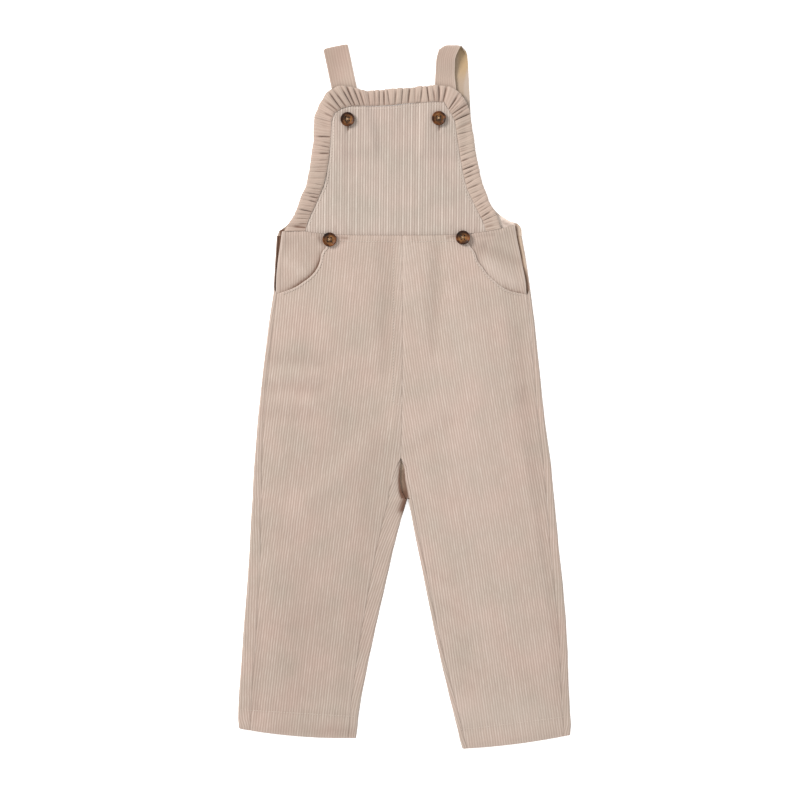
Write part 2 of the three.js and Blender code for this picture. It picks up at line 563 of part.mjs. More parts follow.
function addRuffle() {
  const columns = [];
  let puff = 0;
  RUFFLE.slice(0, -1).forEach((row, k) => {
    for (let g = 0; g < row.gathers; g++, puff++) {
      const size = 1 + PUFF_VARIATION * Math.sin(2.4 * puff) * Math.cos(0.7 * puff);
      for (const { at, rise } of PUFF_PLACES) {
        columns.push({ ...mixRows(row, RUFFLE[k + 1], (g + at) / row.gathers), rise: rise * size });
      }
    }
  });
  columns.push({ ...RUFFLE.at(-1), rise: 0 });
  const pair = (i, j) => {
    const { t, fullness } = RUFFLE_ACROSS[i];
    const column = columns[j];
    const seam = new THREE.Vector2(column.seamX, column.seamY);
    const across = new THREE.Vector2(column.edgeX, column.edgeY).sub(seam);
    const reach = across.length() + SCALLOP * (column.rise - 1) * t;
    const place = seam.add(across.setLength(mix(SEAM_GAP, reach, t)));
    const puffed = PUFF_HEIGHT * column.height * column.rise * fullness;
    const z = bibTop(place.x, place.y) + RUFFLE_VALLEY + puffed;
    return [z, z - RUFFLE_WALL].map((height) => new THREE.Vector3(place.x, place.y, height));
  };
  addCloth("ruffle", RUFFLE_ACROSS.length, columns.length, pair);
}

// A strap: up the back, over a roll at the top and down the front to its end behind the bib.
const STRAP_COLUMNS = 4;
const ROLL_STEPS = 6;
const STRAP_STEPS = 7;
const LEVEL_END_STEPS = 3;

function addStrap(side) {
  const strap = STRAPS[side];
  const rollTop = 2 * strap.radius;
  const stations = [];
  for (let k = 0; k < STRAP_STEPS; k++) {
    const y = mix(STRAP_BACK_END_Y, strap.topY, k / STRAP_STEPS);
    stations.push({ x: strapX(strap, "back", y), y: [y, y], z: [0, STRAP_WALL] });
  }
  for (let k = 0; k <= ROLL_STEPS; k++) {
    const angle = (Math.PI * k) / ROLL_STEPS;
    const radii = [strap.radius, strap.radius - STRAP_WALL];
    stations.push({
      x: mix(strap.backX, strap.frontX, soften(k / ROLL_STEPS)),
      y: radii.map((radius) => strap.topY + radius * Math.sin(angle)),
      z: radii.map((radius) => strap.radius - radius * Math.cos(angle)),
    });
  }
  for (let k = 1; k <= STRAP_STEPS; k++) {
    const y = mix(strap.topY, STRAP_FRONT_END_Y, k / STRAP_STEPS);
    const z = mix(rollTop, STRAP_FRONT_TOP, soften((strap.topY - y) / STRAP_SETTLE));
    stations.push({ x: strapX(strap, "front", y), y: [y, y], z: [z, z - STRAP_WALL] });
  }
  const pair = (i, j) => {
    const { x, y, z } = stations[i];
    const aside = STRAP_WIDTH * (j / (STRAP_COLUMNS - 1) - 0.5);
    const lean = mix(strap.backLean, strap.frontLean, i / (stations.length - 1));
    const tilt = lean * aside * clamp01(i / LEVEL_END_STEPS);
    return [0, 1].map((layer) => new THREE.Vector3(x + aside, y[layer] + tilt, z[layer]));
  };
  addCloth(`strap_${side}`, stations.length, STRAP_COLUMNS, pair);
}

function toManifold(geometry) {
  geometry.deleteAttribute("normal");
  geometry.deleteAttribute("uv");
  const merged = mergeVertices(geometry, 1e-4);
  const vertProperties = new Float32Array(merged.attributes.position.array);
  const triVerts = new Uint32Array(merged.index.array);
  return new wasm.Manifold(new wasm.Mesh({ numProp: 3, vertProperties, triVerts }));
}

// A four-hole button with a raised rim round a dished middle.
function buttonGeometry() {
  const outline = [
    [0, 0],
    [BUTTON_RADIUS - BUTTON_CHAMFER, 0],
    [BUTTON_RADIUS, BUTTON_CHAMFER],
    [BUTTON_RADIUS, BUTTON_THICK - BUTTON_CHAMFER],
    [BUTTON_RADIUS - BUTTON_CHAMFER, BUTTON_THICK],
    [BUTTON_RADIUS - BUTTON_CHAMFER - BUTTON_RIM, BUTTON_THICK],
    [BUTTON_RADIUS - 2 * BUTTON_CHAMFER - BUTTON_RIM, BUTTON_THICK - BUTTON_CHAMFER],
    [0, BUTTON_THICK - BUTTON_CHAMFER],
  ].map(([radius, height]) => new THREE.Vector2(radius, height));
  const turned = new THREE.LatheGeometry(outline, BUTTON_SIDES).rotateX(Math.PI / 2);
  let solid = toManifold(turned);
  for (const [right, up] of [[1, 1], [1, -1], [-1, -1], [-1, 1]]) {
    const size = [BUTTON_HOLE_RADIUS, BUTTON_HOLE_RADIUS, 4 * BUTTON_THICK];
    const hole = new THREE.CylinderGeometry(...size, HOLE_SIDES).rotateX(Math.PI / 2);
    hole.translate(right * BUTTON_HOLE_OFFSET, up * BUTTON_HOLE_OFFSET, 0);
    solid = solid.subtract(toManifold(hole));
  }
  const { vertProperties, triVerts } = solid.getMesh();
  const geometry = new THREE.BufferGeometry();
  geometry.setAttribute("position", new THREE.BufferAttribute(vertProperties, 3));
  geometry.setIndex(new THREE.BufferAttribute(triVerts, 1));
  return geometry;
}

// The highest cloth under a button, so that the button lies on it.
function clothUnder({ x, y }) {
  const side = x < 0 ? "left" : "right";
  const heights = [];
  for (let turn = 0; turn < BUTTON_SIDES; turn++) {
    const angle = (2 * Math.PI * turn) / BUTTON_SIDES;
    for (const radius of [0, BUTTON_RADIUS / 2, BUTTON_RADIUS]) {
      const place = [x + radius * Math.cos(angle), y + radius * Math.sin(angle)];
      const onBib = place[1] > waistY(place[0]);
      heights.push(onBib ? bibTop(...place) : frontTop(side, ...place));
    }
  }
  return Math.max(...heights);
}

function addButtons() {
  for (const [name, place] of Object.entries(BUTTONS)) {
    const geometry = buttonGeometry();
    geometry.translate(place.x, place.y, clothUnder(place) + SEAM_GAP);
    addMesh(name, geometry, TORTOISESHELL);
  }
}

for (const side of ["left", "right"]) {
  addLegBack(side);
  addLegFront(side);
  addHip(side);
  addStrap(side);
}
addBibBack();
addBibFront();
addRuffle();
addButtons();

// The middle of the outline goes to the origin, and the underside to the table.
const box = new THREE.Box3().setFromObject(overalls);
const middle = box.getCenter(new THREE.Vector3());
overalls.position.set(-middle.x, -middle.y, -box.min.z);
overalls.updateMatrixWorld(true);

export default overalls;
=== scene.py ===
"""Toddler bib overalls in corduroy, laid flat with the front up and seen from straight above."""

import math

import bpy
import numpy as np
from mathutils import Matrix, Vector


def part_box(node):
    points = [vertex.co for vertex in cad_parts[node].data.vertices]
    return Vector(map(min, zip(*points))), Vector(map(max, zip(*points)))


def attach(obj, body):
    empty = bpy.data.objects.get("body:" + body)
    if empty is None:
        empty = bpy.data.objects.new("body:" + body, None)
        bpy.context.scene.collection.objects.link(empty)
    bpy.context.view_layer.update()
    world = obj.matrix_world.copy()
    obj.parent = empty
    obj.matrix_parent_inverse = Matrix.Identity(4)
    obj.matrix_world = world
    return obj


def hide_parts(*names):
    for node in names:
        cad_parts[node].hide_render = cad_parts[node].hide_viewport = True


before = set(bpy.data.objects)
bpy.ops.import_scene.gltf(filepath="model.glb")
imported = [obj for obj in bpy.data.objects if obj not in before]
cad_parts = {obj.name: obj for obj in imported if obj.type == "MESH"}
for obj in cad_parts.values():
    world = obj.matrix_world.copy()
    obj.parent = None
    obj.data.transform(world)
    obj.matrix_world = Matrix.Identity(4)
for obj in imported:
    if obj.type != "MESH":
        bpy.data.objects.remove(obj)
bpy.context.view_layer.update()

# Sizes are in millimetres, and places are counted from the same middle as in the part's tables.
# A soft band is written bump(distance, width) times an amount: the distance and the width are
# millimetres, and the amount is a height in millimetres, or a share where it is a tone.

# Cloth
WALL = 1.3
SEAM_GAP = 0.14
LAYER_GAP = 0.5
FOLD_RADIUS = 2.3
EDGE_TOP = 2 * FOLD_RADIUS
PUFF = 0.9
PUFF_REACH = 28
SEAM_DIP = 0.35
HEM_DEPTH = 19
WALE_PITCH = 2.6
WALE_DEPTH = 0.15
STEP_ACROSS = WALE_PITCH / 4
ROW_STEP = 4.5
POCKET_STEP = 1.6

# Places in a row across each piece
PLACES = {"leg": 300, "under": 220, "hip": 160, "bib": 400, "bib_back": 120, "strap": 70}
OUTER_WRAP_PLACES = 24
ARC_PLACES = 40
INNER_WRAP_PLACES = 60
TURN = {"left": 1, "right": -1}

# Bib, ruffle and straps
BIB_LOW = 3.8
BIB_RISE = 1.3
BIB_RISE_FROM = 205
STRAP_WALL = 1.8
STRAP_FRONT_TOP = 4.3
STRAP_WIDTH = 24.5
STRAP_SETTLE = 34
TURNED_CORNER = 7.5
FOLD_STEPS = 16
CUSHION = STRAP_FRONT_TOP + LAYER_GAP + WALL - BIB_LOW
CUSHION_HALF_WIDTH = 27
CUSHION_SIDE = 12
CUSHION_FOOT_Y = 232
CUSHION_FOOT = 18
RUFFLE_WALL = 1.2
PUFF_HEIGHT = 1.9
PUFF_STEPS = 16
WALES_A_PUFF = 3.5
RUFFLE_DEPTH = 17
RUFFLE_SHEET = 18
RUFFLE_SHARES = [0, 0.05, 0.1, 0.17, 0.26, 0.36, 0.46, 0.56, 0.66, 0.76, 0.85, 0.92, 0.97, 1]

BUTTON_RADIUS = 7
BUTTON_THICK = 3
DISH_RADIUS = 4.9
HOLE_RADIUS = 0.85
HOLE_OFF = 1.7

WAIST_Y = 160
WAIST_RISE = 4
WAIST_MIDDLE_X = -8
WAIST_HALF = 92
WAIST_PULL = 14
WAIST_CAP = {"left": 1.0, "right": 1.3}
CENTRE_BACK = {"waist_x": 0, "fork_x": 3.5, "waist_y": 160, "fork_y": -103.5}

# Columns: outer edge x and y, inner edge x and y, how far the back comes round each edge
# onto the front, and how far round the outer edge is rolled, in degrees.
LEGS = {
    "left": [
        (-127.5, 159.5, -1.8, 159.5, 0, 0, 95),
        (-128.5, 143.5, -1.8, 143.5, 0, 0, 95),
        (-129.5, 127.5, -1.8, 127.5, 0, 0, 95),
        (-130.5, 110, -1.8, 110, 0, 0, 110),
        (-131, 101.5, -1.8, 101.5, 4, 0, 180),
        (-135.5, 71.5, -1.8, 71.5, 4.5, 0, 180),
        (-141.5, 23.5, -2, 23.5, 5.5, 0, 180),
        (-146.5, -24.5, -2.5, -24.5, 6.5, 0, 180),
        (-149.5, -62.5, -3.5, -62.5, 7.5, 0, 180),
        (-150.2, -71, -4, -71, 8, 4, 180),
        (-151, -84.5, -4.4, -84.5, 8.5, 7.5, 180),
        (-151.6, -96, -2.5, -96, 9, 12.7, 180),
        (-151.8, -102, 0.8, -102, 9, 16.6, 180),
        (-151.8, -103.5, 3.3, -103.5, 9.2, 19, 180),
        (-153.5, -127.5, -3.5, -125.5, 10, 18, 180),
        (-154.5, -150.5, -10.5, -152.5, 11, 17, 180),
        (-157, -188.5, -19, -190.5, 12, 16, 180),
        (-160, -224.5, -27.5, -227.5, 13, 14, 180),
        (-162.5, -260.5, -35.5, -265, 13, 12, 180),
        (-165, -295.5, -42.5, -300.5, 13, 10, 180),
        (-166, -312.5, -45.5, -319.5, 13, 9, 180),
        (-166.2, -322.5, -46.5, -330.5, 13, 8.5, 180),
        (-165.3, -332.5, -48, -342, 11.5, 8, 180),
    ],
    "right": [
        (117.5, 159.5, -1.8, 159.5, 0, 0, 95),
        (120.5, 143.5, -1.8, 143.5, 0, 0, 95),
        (123, 127.5, -1.8, 127.5, 0, 0, 95),
        (125.7, 109, -1.8, 109, 0, 0, 110),
        (126.7, 100.5, -1.8, 100.5, 4, 0, 180),
        (130.5, 71.5, -1.8, 71.5, 5, 0, 180),
        (135.5, 23.5, -2, 23.5, 6, 0, 180),
        (140.5, -24.5, -2.5, -24.5, 7, 0, 180),
        (146, -62.5, -3.5, -62.5, 7.5, 0, 180),
        (147, -71, -0.7, -71, 7.5, 3, 180),
        (148.2, -84.5, 0.2, -84.5, 8, 3.5, 180),
        (149.3, -96, 2.4, -96, 8, 4, 180),
        (149.8, -102, 3.5, -102, 8, 4, 180),
        (150, -103.5, 3.9, -103.5, 8, 4, 180),
        (152.5, -128.5, 8.5, -128.5, 8.5, 4, 180),
        (154.5, -151.5, 13.5, -153.5, 9, 4, 180),
        (158.5, -187.5, 21, -190.5, 9, 4, 180),
        (161.5, -221.5, 28.5, -228.5, 8.5, 4, 180),
        (163.5, -256.5, 36.5, -265.5, 8, 4.5, 180),
        (164.5, -290.5, 45.5, -303, 8, 5, 180),
        (166, -318, 52.7, -332, 8, 5, 180),
        (166.8, -328, 55, -342.5, 8, 5, 180),
        (166, -339, 58, -352.8, 7.5, 5, 180),
    ],
}
OUT_X, OUT_Y, IN_X, IN_Y, WRAP_OUT, WRAP_IN, CURL = range(7)
CLOSED_ROW = 4
TONGUE_ROW = 9
FORK_ROW = 13
HEM_BOW = {"left": -3, "right": -2}
GROOVE_DEPTH = 1.6

# The edge of each front pocket, x and y, from the waist seam down and round to the side.
POCKET_EDGE = {
    "left": [
        (-73, 159.8),
        (-75, 153.5),
        (-78, 148),
        (-82.5, 142),
        (-84, 134.5),
        (-86.5, 128),
        (-90, 122.5),
        (-95, 117.5),
        (-100.5, 113.5),
        (-107.5, 108.8),
        (-116, 105),
        (-122.5, 102.9),
    ],
    "right": [
        (61.5, 159.8),
        (63, 153.5),
        (65, 149.5),
        (70, 143.5),
        (73.5, 134),
        (78.5, 127.5),
        (83, 121),
        (89, 115.5),
        (96, 109.5),
        (104.5, 104.8),
        (112, 102.8),
        (118.5, 101.6),
    ],
}

# Outer edge x and y, inner edge x and y of the side pieces, from the waist down.
HIPS = {
    "left": [
        (-122, 163.8, -60, 160.3),
        (-124.3, 148, -65, 146),
        (-126.3, 134, -71, 133),
        (-127.5, 122, -77, 121),
        (-128, 112, -88, 110),
        (-128.2, 102, -103, 100),
        (-129, 93, -119, 91),
    ],
    "right": [
        (111.5, 171, 49, 160.3),
        (114, 157, 52, 149),
        (117, 143, 60, 139),
        (120, 128, 70, 125),
        (122.7, 114, 82, 110),
        (123.4, 104, 97, 100),
        (124.7, 95, 112, 91),
    ],
}

# Left edge x and y, right edge x and y of the bib inside its ruffle, from the waist up.
BIB = [
    (-99.5, 164, 82.5, 164),
    (-93.5, 179.5, 78.5, 173.5),
    (-87.5, 192.5, 69.5, 191.5),
    (-80.5, 209.5, 62.5, 206.5),
    (-77.5, 222.5, 59, 220.5),
    (-75.5, 234.5, 56.5, 233.5),
    (-73.5, 252.5, 53.5, 252.5),
    (-72.5, 273.5, 50.5, 273.5),
    (-69.5, 281.5, 47.5, 279.5),
    (-62.5, 286.2, 44, 285.5),
    (-52.5, 288.6, 39.5, 292.4),
]
BIB_TOP = {"left": 288.6, "rise": 4.2, "start": -25, "over": 50}

# The same for the back bib, which carries the straps.
BACK_BIB = [
    (-127, 160, 117.6, 160),
    (-125, 164.5, 117.2, 165.5),
    (-119.5, 168.2, 116, 169),
    (-116, 171.5, 113.5, 171.8),
    (-113, 174, 106.5, 174),
    (-106, 183.5, 92, 183.5),
    (-98.5, 197.5, 82.5, 197.5),
    (-91.5, 215.5, 73.5, 215.5),
    (-86.5, 230.5, 70, 230.5),
    (-83.5, 245.5, 68.5, 245.5),
]

# The back bib's right end and top say where the tables' middle lies in the frame.
_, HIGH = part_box("bib_back")
SHIFT = np.array([HIGH.x * 1000 - BACK_BIB[0][2], HIGH.y * 1000 - BACK_BIB[-1][1], 0.0])

# Seam x and y, outer edge x and y, puffs up to the next row and how high they stand.
RUFFLE = [
    (-99.5, 164.6, -120.3, 165, 4, 0.7),
    (-93.5, 179.5, -110, 180.5, 3, 0.9),
    (-87.5, 192.5, -104, 195.5, 4, 1),
    (-80.5, 209.5, -98, 210, 2, 1),
    (-77.5, 222.5, -95, 223, 2, 1),
    (-75.5, 234.5, -93.3, 235.5, 3, 1),
    (-73.5, 252.5, -91.2, 254, 3, 1),
    (-72.5, 273.5, -89.5, 278.5, 2, 1.1),
    (-69.5, 281.5, -85, 291, 2, 1.1),
    (-62.5, 286.2, -77, 303, 2, 1.2),
    (-52.5, 288.8, -65, 309.3, 2, 1.3),
    (-43.5, 288.8, -48.5, 306.7, 2, 1.3),
    (-34.5, 288.8, -36, 304, 4, 1.3),
    (-14.5, 289.4, -15.5, 306, 3, 1.2),
    (4.5, 291.6, 4.5, 307.5, 4, 1.2),
    (30.5, 293, 30.5, 310, 2, 1.3),
    (39.7, 292.6, 45, 308, 1, 1.2),
    (44, 285.5, 56, 302, 2, 1),
    (47.5, 279.5, 63.5, 290, 2, 1),
    (50.5, 273.5, 66.3, 281, 3, 1),
    (53.5, 252.5, 69.7, 255, 4, 1.2),
    (56.5, 233.5, 73, 235.5, 3, 1.2),
    (59, 220.5, 75, 222.5, 3, 1),
    (62.5, 206.5, 79.5, 209.5, 3, 1),
    (69.5, 191.5, 85.5, 194.5, 4, 1.2),
    (78.5, 173.5, 95, 180, 2, 0.9),
    (82.7, 165, 100, 169.5, 0, 0.7),
]

# The puffs over the bib's top edge, counted from the ruffle's left end.
TOP_PUFFS = (24, 50)

# The straps: middle of the fold, and millimetres sideways for each one down.
STRAPS = {
    "left": {"back": (-68.3, 0.206), "front": (-68.3, 0.206), "top_y": 347, "radius": 2.2},
    "right": {"back": (50.8, 0.05), "front": (44.5, -0.09), "top_y": 346.5, "radius": 3.5},
}
STRAP_FRONT_END_Y = 258
STRAP_BACK_END_Y = 245.8

# Soft folds: both ends, a width and a height. A trough is below 0.
FOLDS = [
    (-18.5, 148, -18.5, 22, 8, -0.9),
    (33, 148, 31, 45, 8, -0.9),
    (-138, 37, -80, 34, 8, -0.9),
    (-140, 10, -86, 7, 8, -0.9),
    (-142, -17, -92, -20, 8, -0.8),
    (-110, -116, -38, -50, 13, 0.8),
    (108, 104, 121, -5, 8, -0.8),
    (121, -5, 138, -102, 8, -0.8),
    (-8, -58, -58, -22, 8, -0.6),
    (2, -60, 50, -26, 8, -0.6),
]

BUTTONS = {
    "button_bib_left": (-56.5, 275.5),
    "button_bib_right": (34.5, 276.5),
    "button_waist_left": (-74.5, 155.5),
    "button_waist_right": (58.5, 157.5),
}

# How far the wales lean sideways for each millimetre down, at heights from the waist down.
WALE_LEAN = {
    "left": [(170, -0.09), (60, -0.1), (0, -0.13), (-150, -0.13), (-360, -0.11)],
    "right": [(170, 0.12), (60, 0.14), (0, 0.18), (-90, 0.18), (-200, 0.15), (-360, 0.14)],
    "hip_left": [(170, 0.0), (80, 0.0)],
    "hip_right": [(175, 0.22), (80, 0.22)],
    "bib": [(300, -0.01), (160, -0.01)],
}


def mix(a, b, t):
    return a + (b - a) * t


def soften(t):
    t = np.clip(t, 0, 1)
    return t * t * (3 - 2 * t)


def bump(distance, width):
    return np.exp(-((distance / width) ** 2))


def column(rows, name):
    return np.array([row[name] for row in rows], float)


def by_height(rows, height, name, y):
    """One column of a table at heights y."""
    heights = column(rows, height)
    values = column(rows, name)
    order = np.argsort(heights)
    return np.interp(y, heights[order], values[order])


def refined(rows, step, place=(0, 1), smooth=True):
    """The rows of a table with others between, so that no two places lie further apart than step."""
    table = np.array(rows, float)
    slopes = np.gradient(table, axis=0)
    finer = [table[0]]
    for i in range(1, len(table)):
        gap = max(abs(table[i, p] - table[i - 1, p]) for p in place)
        parts = max(1, math.ceil(gap / step))
        for k in range(1, parts + 1):
            t = k / parts
            row = mix(table[i - 1], table[i], t)
            if smooth:
                bend = t * (1 - t) ** 2 * slopes[i - 1] - t * t * (1 - t) * slopes[i]
                line = table[i] - table[i - 1]
                row = row + bend - (t * (1 - t) ** 2 - t * t * (1 - t)) * line
            finer.append(row)
    return np.array(finer)


def lean_to(name, y):
    """How far sideways the wales have come at height y."""
    table = WALE_LEAN[name]
    heights = np.arange(table[0][0], table[-1][0] - 1, -1.0)
    leans = by_height(table, 0, 1, heights)
    gone = np.concatenate([[0], np.cumsum(leans[:-1])])
    return np.interp(y, heights[::-1], gone[::-1])


def waist_y(x):
    """Height of the waist seam, which rises towards both sides."""
    cap = np.where(x < WAIST_MIDDLE_X, WAIST_CAP["left"], WAIST_CAP["right"])
    away = np.minimum(np.abs(x - WAIST_MIDDLE_X) / WAIST_HALF, cap)
    return WAIST_Y + WAIST_RISE * away**4


def distance_to(x, y, x1, y1, x2, y2):
    along = ((x - x1) * (x2 - x1) + (y - y1) * (y2 - y1)) / ((x2 - x1) ** 2 + (y2 - y1) ** 2)
    t = np.clip(along, 0, 1)
    return np.hypot(x - mix(x1, x2, t), y - mix(y1, y2, t))


def along_lines(table, x, y):
    """The sum of soft bands along lines: both ends of each, its width and its amount."""
    total = np.zeros_like(x, dtype=float)
    for x1, y1, x2, y2, width, amount in table:
        total += amount * bump(distance_to(x, y, x1, y1, x2, y2), width)
    return total


def beside_buttons(x, y, width):
    """How near a place is to a button's lower right, where its shadow falls and painted light is put."""
    total = np.zeros_like(x, dtype=float)
    for bx, by in BUTTONS.values():
        total += bump(np.hypot(x - bx - 6, y - by + 6), width)
    return total


def front_top(side, x, y):
    """Height of the upper face of a leg's front, rounded down to both folded edges."""
    rows = LEGS[side]
    out_x = by_height(rows, OUT_Y, OUT_X, y)
    in_x = by_height(rows, OUT_Y, IN_X, y)
    from_outer = soften((np.abs(x - out_x) - FOLD_RADIUS) / PUFF_REACH)
    from_inner = soften((np.abs(x - in_x) - FOLD_RADIUS) / PUFF_REACH)
    crotch_y = rows[TONGUE_ROW - 1][OUT_Y]
    fork_y = rows[FORK_ROW][OUT_Y]
    forked = np.clip((crotch_y - y) / (crotch_y - fork_y), 0, 1)
    puff = PUFF + along_lines(FOLDS, x, y)
    return EDGE_TOP + puff * from_outer * mix(1, from_inner, forked)


def strap_x(strap, part, y):
    x, lean = strap[part]
    return x + lean * (strap["top_y"] - y)


def bib_top(x, y):
    """Height of the bib's upper face, which the straps behind it raise."""
    lift = 0
    for strap in STRAPS.values():
        away = np.abs(x - strap_x(strap, "front", y))
        lift = np.maximum(lift, soften((CUSHION_HALF_WIDTH - away) / CUSHION_SIDE))
    cushion = CUSHION * soften((y - CUSHION_FOOT_Y) / CUSHION_FOOT) * lift
    return BIB_LOW + BIB_RISE * soften((BIB_RISE_FROM - y) / (BIB_RISE_FROM - WAIST_Y)) + cushion


# Further creases of the front, which deepen the soft folds. The same columns.
CREASES = [
    (-14, 152, -13, 88, 5, -0.6),
    (-7, 82, 0, 38, 5, -0.35),
    (33.5, 148, 32, 84, 4.5, -0.6),
    (-136, 38, -84, 33, 5.5, -0.8),
    (-136, 24, -88, 20, 7, 0.5),
    (-138, 11, -88, 5, 5.5, -0.8),
    (-140, -3, -92, -8, 7, 0.5),
    (-140, -16, -96, -22, 5.5, -0.7),
    (-90, -98, -46, -58, 9, 0.2),
    (111.5, 66, 118.5, 6, 5, -0.9),
    (118.5, 6, 152, -232, 4.5, -0.9),
    (152, -232, 156, -307, 4.5, -0.9),
    (-143, -230, -147, -318, 5, -0.5),
    (-6, 20, -12, -45, 6, 0.5),
    (30, -178, 50, -190, 3, -0.7),
    (36, -206, 62, -224, 3.5, -0.8),
    (43, -236, 68, -252, 3.5, -0.8),
    (48, -262, 78, -280, 4, -0.8),
    (52, -284, 70, -292, 3, -0.6),
    (-150, -130, -110, -142, 8, -0.6),
    (-148, -172, -104, -160, 9, 0.5),
    (-60, -205, -110, -236, 12, -0.6),
    (100, -200, 130, -260, 14, 0.5),
    (60, 95, 84, 20, 12, 0.5),
    (-60, 110, -78, 60, 12, 0.5),
]

# Patches of painted shade (above 0) and painted light (below 0) on the fronts: both ends of a patch, a
# width and an amount.
PAINTED_PATCHES = [
    (-33, -60, -50, -245, 17, 0.06),
    (-95, -60, -104, -290, 45, 0.045),
    (-92, -240, -88, -262, 26, 0.03),
    (-142, -250, -150, -318, 6, 0.04),
    (95, -200, 110, -270, 22, 0.03),
    (-68, 158.2, -57, 157, 1.3, 0.45),
    (65, 158.5, 72, 158, 1.3, 0.3),
    (-66, 154, -60, 153.5, 1.5, 0.15),
    (51, 159, 43, 157.6, 1.2, 0.4),
    (8, 158, 9, 154, 1.2, 0.15),
    (13, 158, 14, 155, 1.2, 0.15),
    (112, 66, 119, 6, 6, 0.03),
    (119, 6, 152, -232, 6, 0.04),
    (152, -232, 156, -307, 6, 0.04),
    (50, 40, 90, -260, 30, -0.03),
    (60, -318, 130, -318, 17, -0.07),
    (18, -32, 22, -30, 12, -0.05),
    (-128, -331, -52, -336, 5, 0.07),
    (-76, -333, -50, -337, 5, 0.08),
    (-120, -180, -108, -300, 20, 0.03),
    (-8, -74, -10.5, -100, 3.5, -0.1),
    (-100, -309, -54, -313, 7, -0.04),
    (0, 150, 4, 100, 10, -0.05),
    (-25, 40, -20, -10, 10, -0.03),
    (-100, 60, -60, 10, 30, 0.02),
    (-18, 150, -18, 40, 6, 0.03),
    (32, 145, 31, 55, 6, 0.04),
]
# Painted shade the same way for the left leg alone: its turned edge inside the fork's hollow.
FORK_SHADE = [(2.5, -98, -2, -114, 4, 0.9)]
# Painted shade over the whole left leg and a little painted light over the right, and how much painted
# shade a trough gives, and painted light a ridge, for each millimetre of its height.
SIDE_TONE = {"left": 0.03, "right": -0.012}
CREASE_SHADE = 0.05


def painted_light_and_shade(side, x, y):
    """Painted shade and light at a place on the front: shade in troughs, light on ridges and by the
    buttons, over an uneven tone.
    """
    tone = SIDE_TONE[side] - CREASE_SHADE * along_lines(FOLDS + CREASES, x, y)
    tone += along_lines(PAINTED_PATCHES + FORK_SHADE if side == "left" else PAINTED_PATCHES, x, y)
    tone -= 0.1 * beside_buttons(x, y, 5)
    tone += 0.012 * ripple(x + 0.4 * y, 0.2, 47) + 0.012 * ripple(y - 0.3 * x, 1.8, 38)
    return np.maximum(tone, 0), np.maximum(-3 * tone, 0)


def painted_light_and_shade_round(side, point, normal):
    """The same painted shade and light on a back, and fainter underneath."""
    share = np.where(normal[:, 2] > -0.5, 1.0, 0.3)
    darker, paler = painted_light_and_shade(side, *point.T[:2])
    return darker * share, paler * share


def draped(side, x, y):
    """The front of a leg as it lies, with its further creases."""
    z = front_top(side, x, y)
    inside = soften((z - EDGE_TOP) / 0.7)
    return z + inside * (along_lines(CREASES, x, y) + undulation(x, y))


def ripple(s, seed, period):
    """Uneven waves between about -1 and 1, as long as the period."""
    turn = 2 * np.pi * s / period
    waves = np.sin(turn + seed) + 0.7 * np.sin(1.62 * turn + 2.1 * seed)
    return (waves + 0.5 * np.sin(0.53 * turn + 3.3 * seed)) / 2.2


def undulation(x, y):
    """The cloth never lies quite even."""
    slow = ripple(x + 0.35 * y, 1.3, 74) * ripple(y - 0.2 * x, 0.4, 96)
    return 0.35 * slow + 0.12 * ripple(y + 0.6 * x, 2.2, 31)


UP = np.array([0.0, 0.0, 1.0])


# Cloth walls. A row is a run of places across a piece. u is where each was on the flat cloth,
# and its facts are v on the flat cloth, how much painted shade darkens it in hollows, creases,
# seams and gaps, and how much paler it is made on ridges and edges, as painted highlight and
# partly as wear. The point is on the right side, and the normal points away from the cloth.
def cloth_row(u, v, point, normal, dark=0.0, wear_and_highlight=0.0):
    u = np.asarray(u, float)
    facts = np.stack([np.broadcast_to(np.asarray(f, float), u.shape) for f in (v, dark, wear_and_highlight)], 1)
    order = slice(None, None, -1 if u[0] > u[-1] else 1)
    return u[order], facts[order], point[order], normal[order]


def level(x, y, z, upwards=1):
    return np.stack([x, y, z], 1), np.tile(UP * upwards, (len(x), 1))


def laid_row(lean, x, y, z, dark, wear_and_highlight):
    """A row that faces up, with the wales of the named lean."""
    return cloth_row(x - lean_to(lean, y), y, *level(x, y, z), dark, wear_and_highlight)


def between(at, places, values):
    return np.stack([np.interp(at, places, values[:, k]) for k in range(values.shape[1])], 1)


def part_of(row, low, high):
    """The stretch of a row between two places across the cloth."""
    u = row[0]
    at = np.unique(np.concatenate([[low, high], u[(u > low) & (u < high)]]))
    return (at, *(between(at, u, values) for values in row[1:]))


def wales(u):
    return -0.5 * (1 - np.cos(2 * np.pi * u / WALE_PITCH))


# Columns of a grid: right side, wrong side, place on the flat cloth, tone and normal
OUTSIDE = slice(0, 3)
INSIDE = slice(3, 6)
FLAT = slice(6, 8)
TONE = slice(8, 10)
NORMAL = slice(10, 13)
FLAT_UNIT = 100


def grid_of(rows, step, wall, depth):
    """The corners of one grid, which has a column at each step across the flat cloth."""
    first = math.floor(min(row[0][0] for row in rows) / step)
    last = math.ceil(max(row[0][-1] for row in rows) / step)
    columns = np.arange(first, last + 1) * step
    corners = []
    for u, facts, point, normal in rows:
        at = np.clip(columns, u[0], u[-1])
        place = between(at, u, point)
        out = between(at, u, normal)
        out /= np.linalg.norm(out, axis=1)[:, None]
        sunk = depth * wales(at)
        face = place + out * sunk[:, None]
        corners.append(np.column_stack([face, place - out * wall, at, between(at, u, facts), out]))
    return np.array(corners)


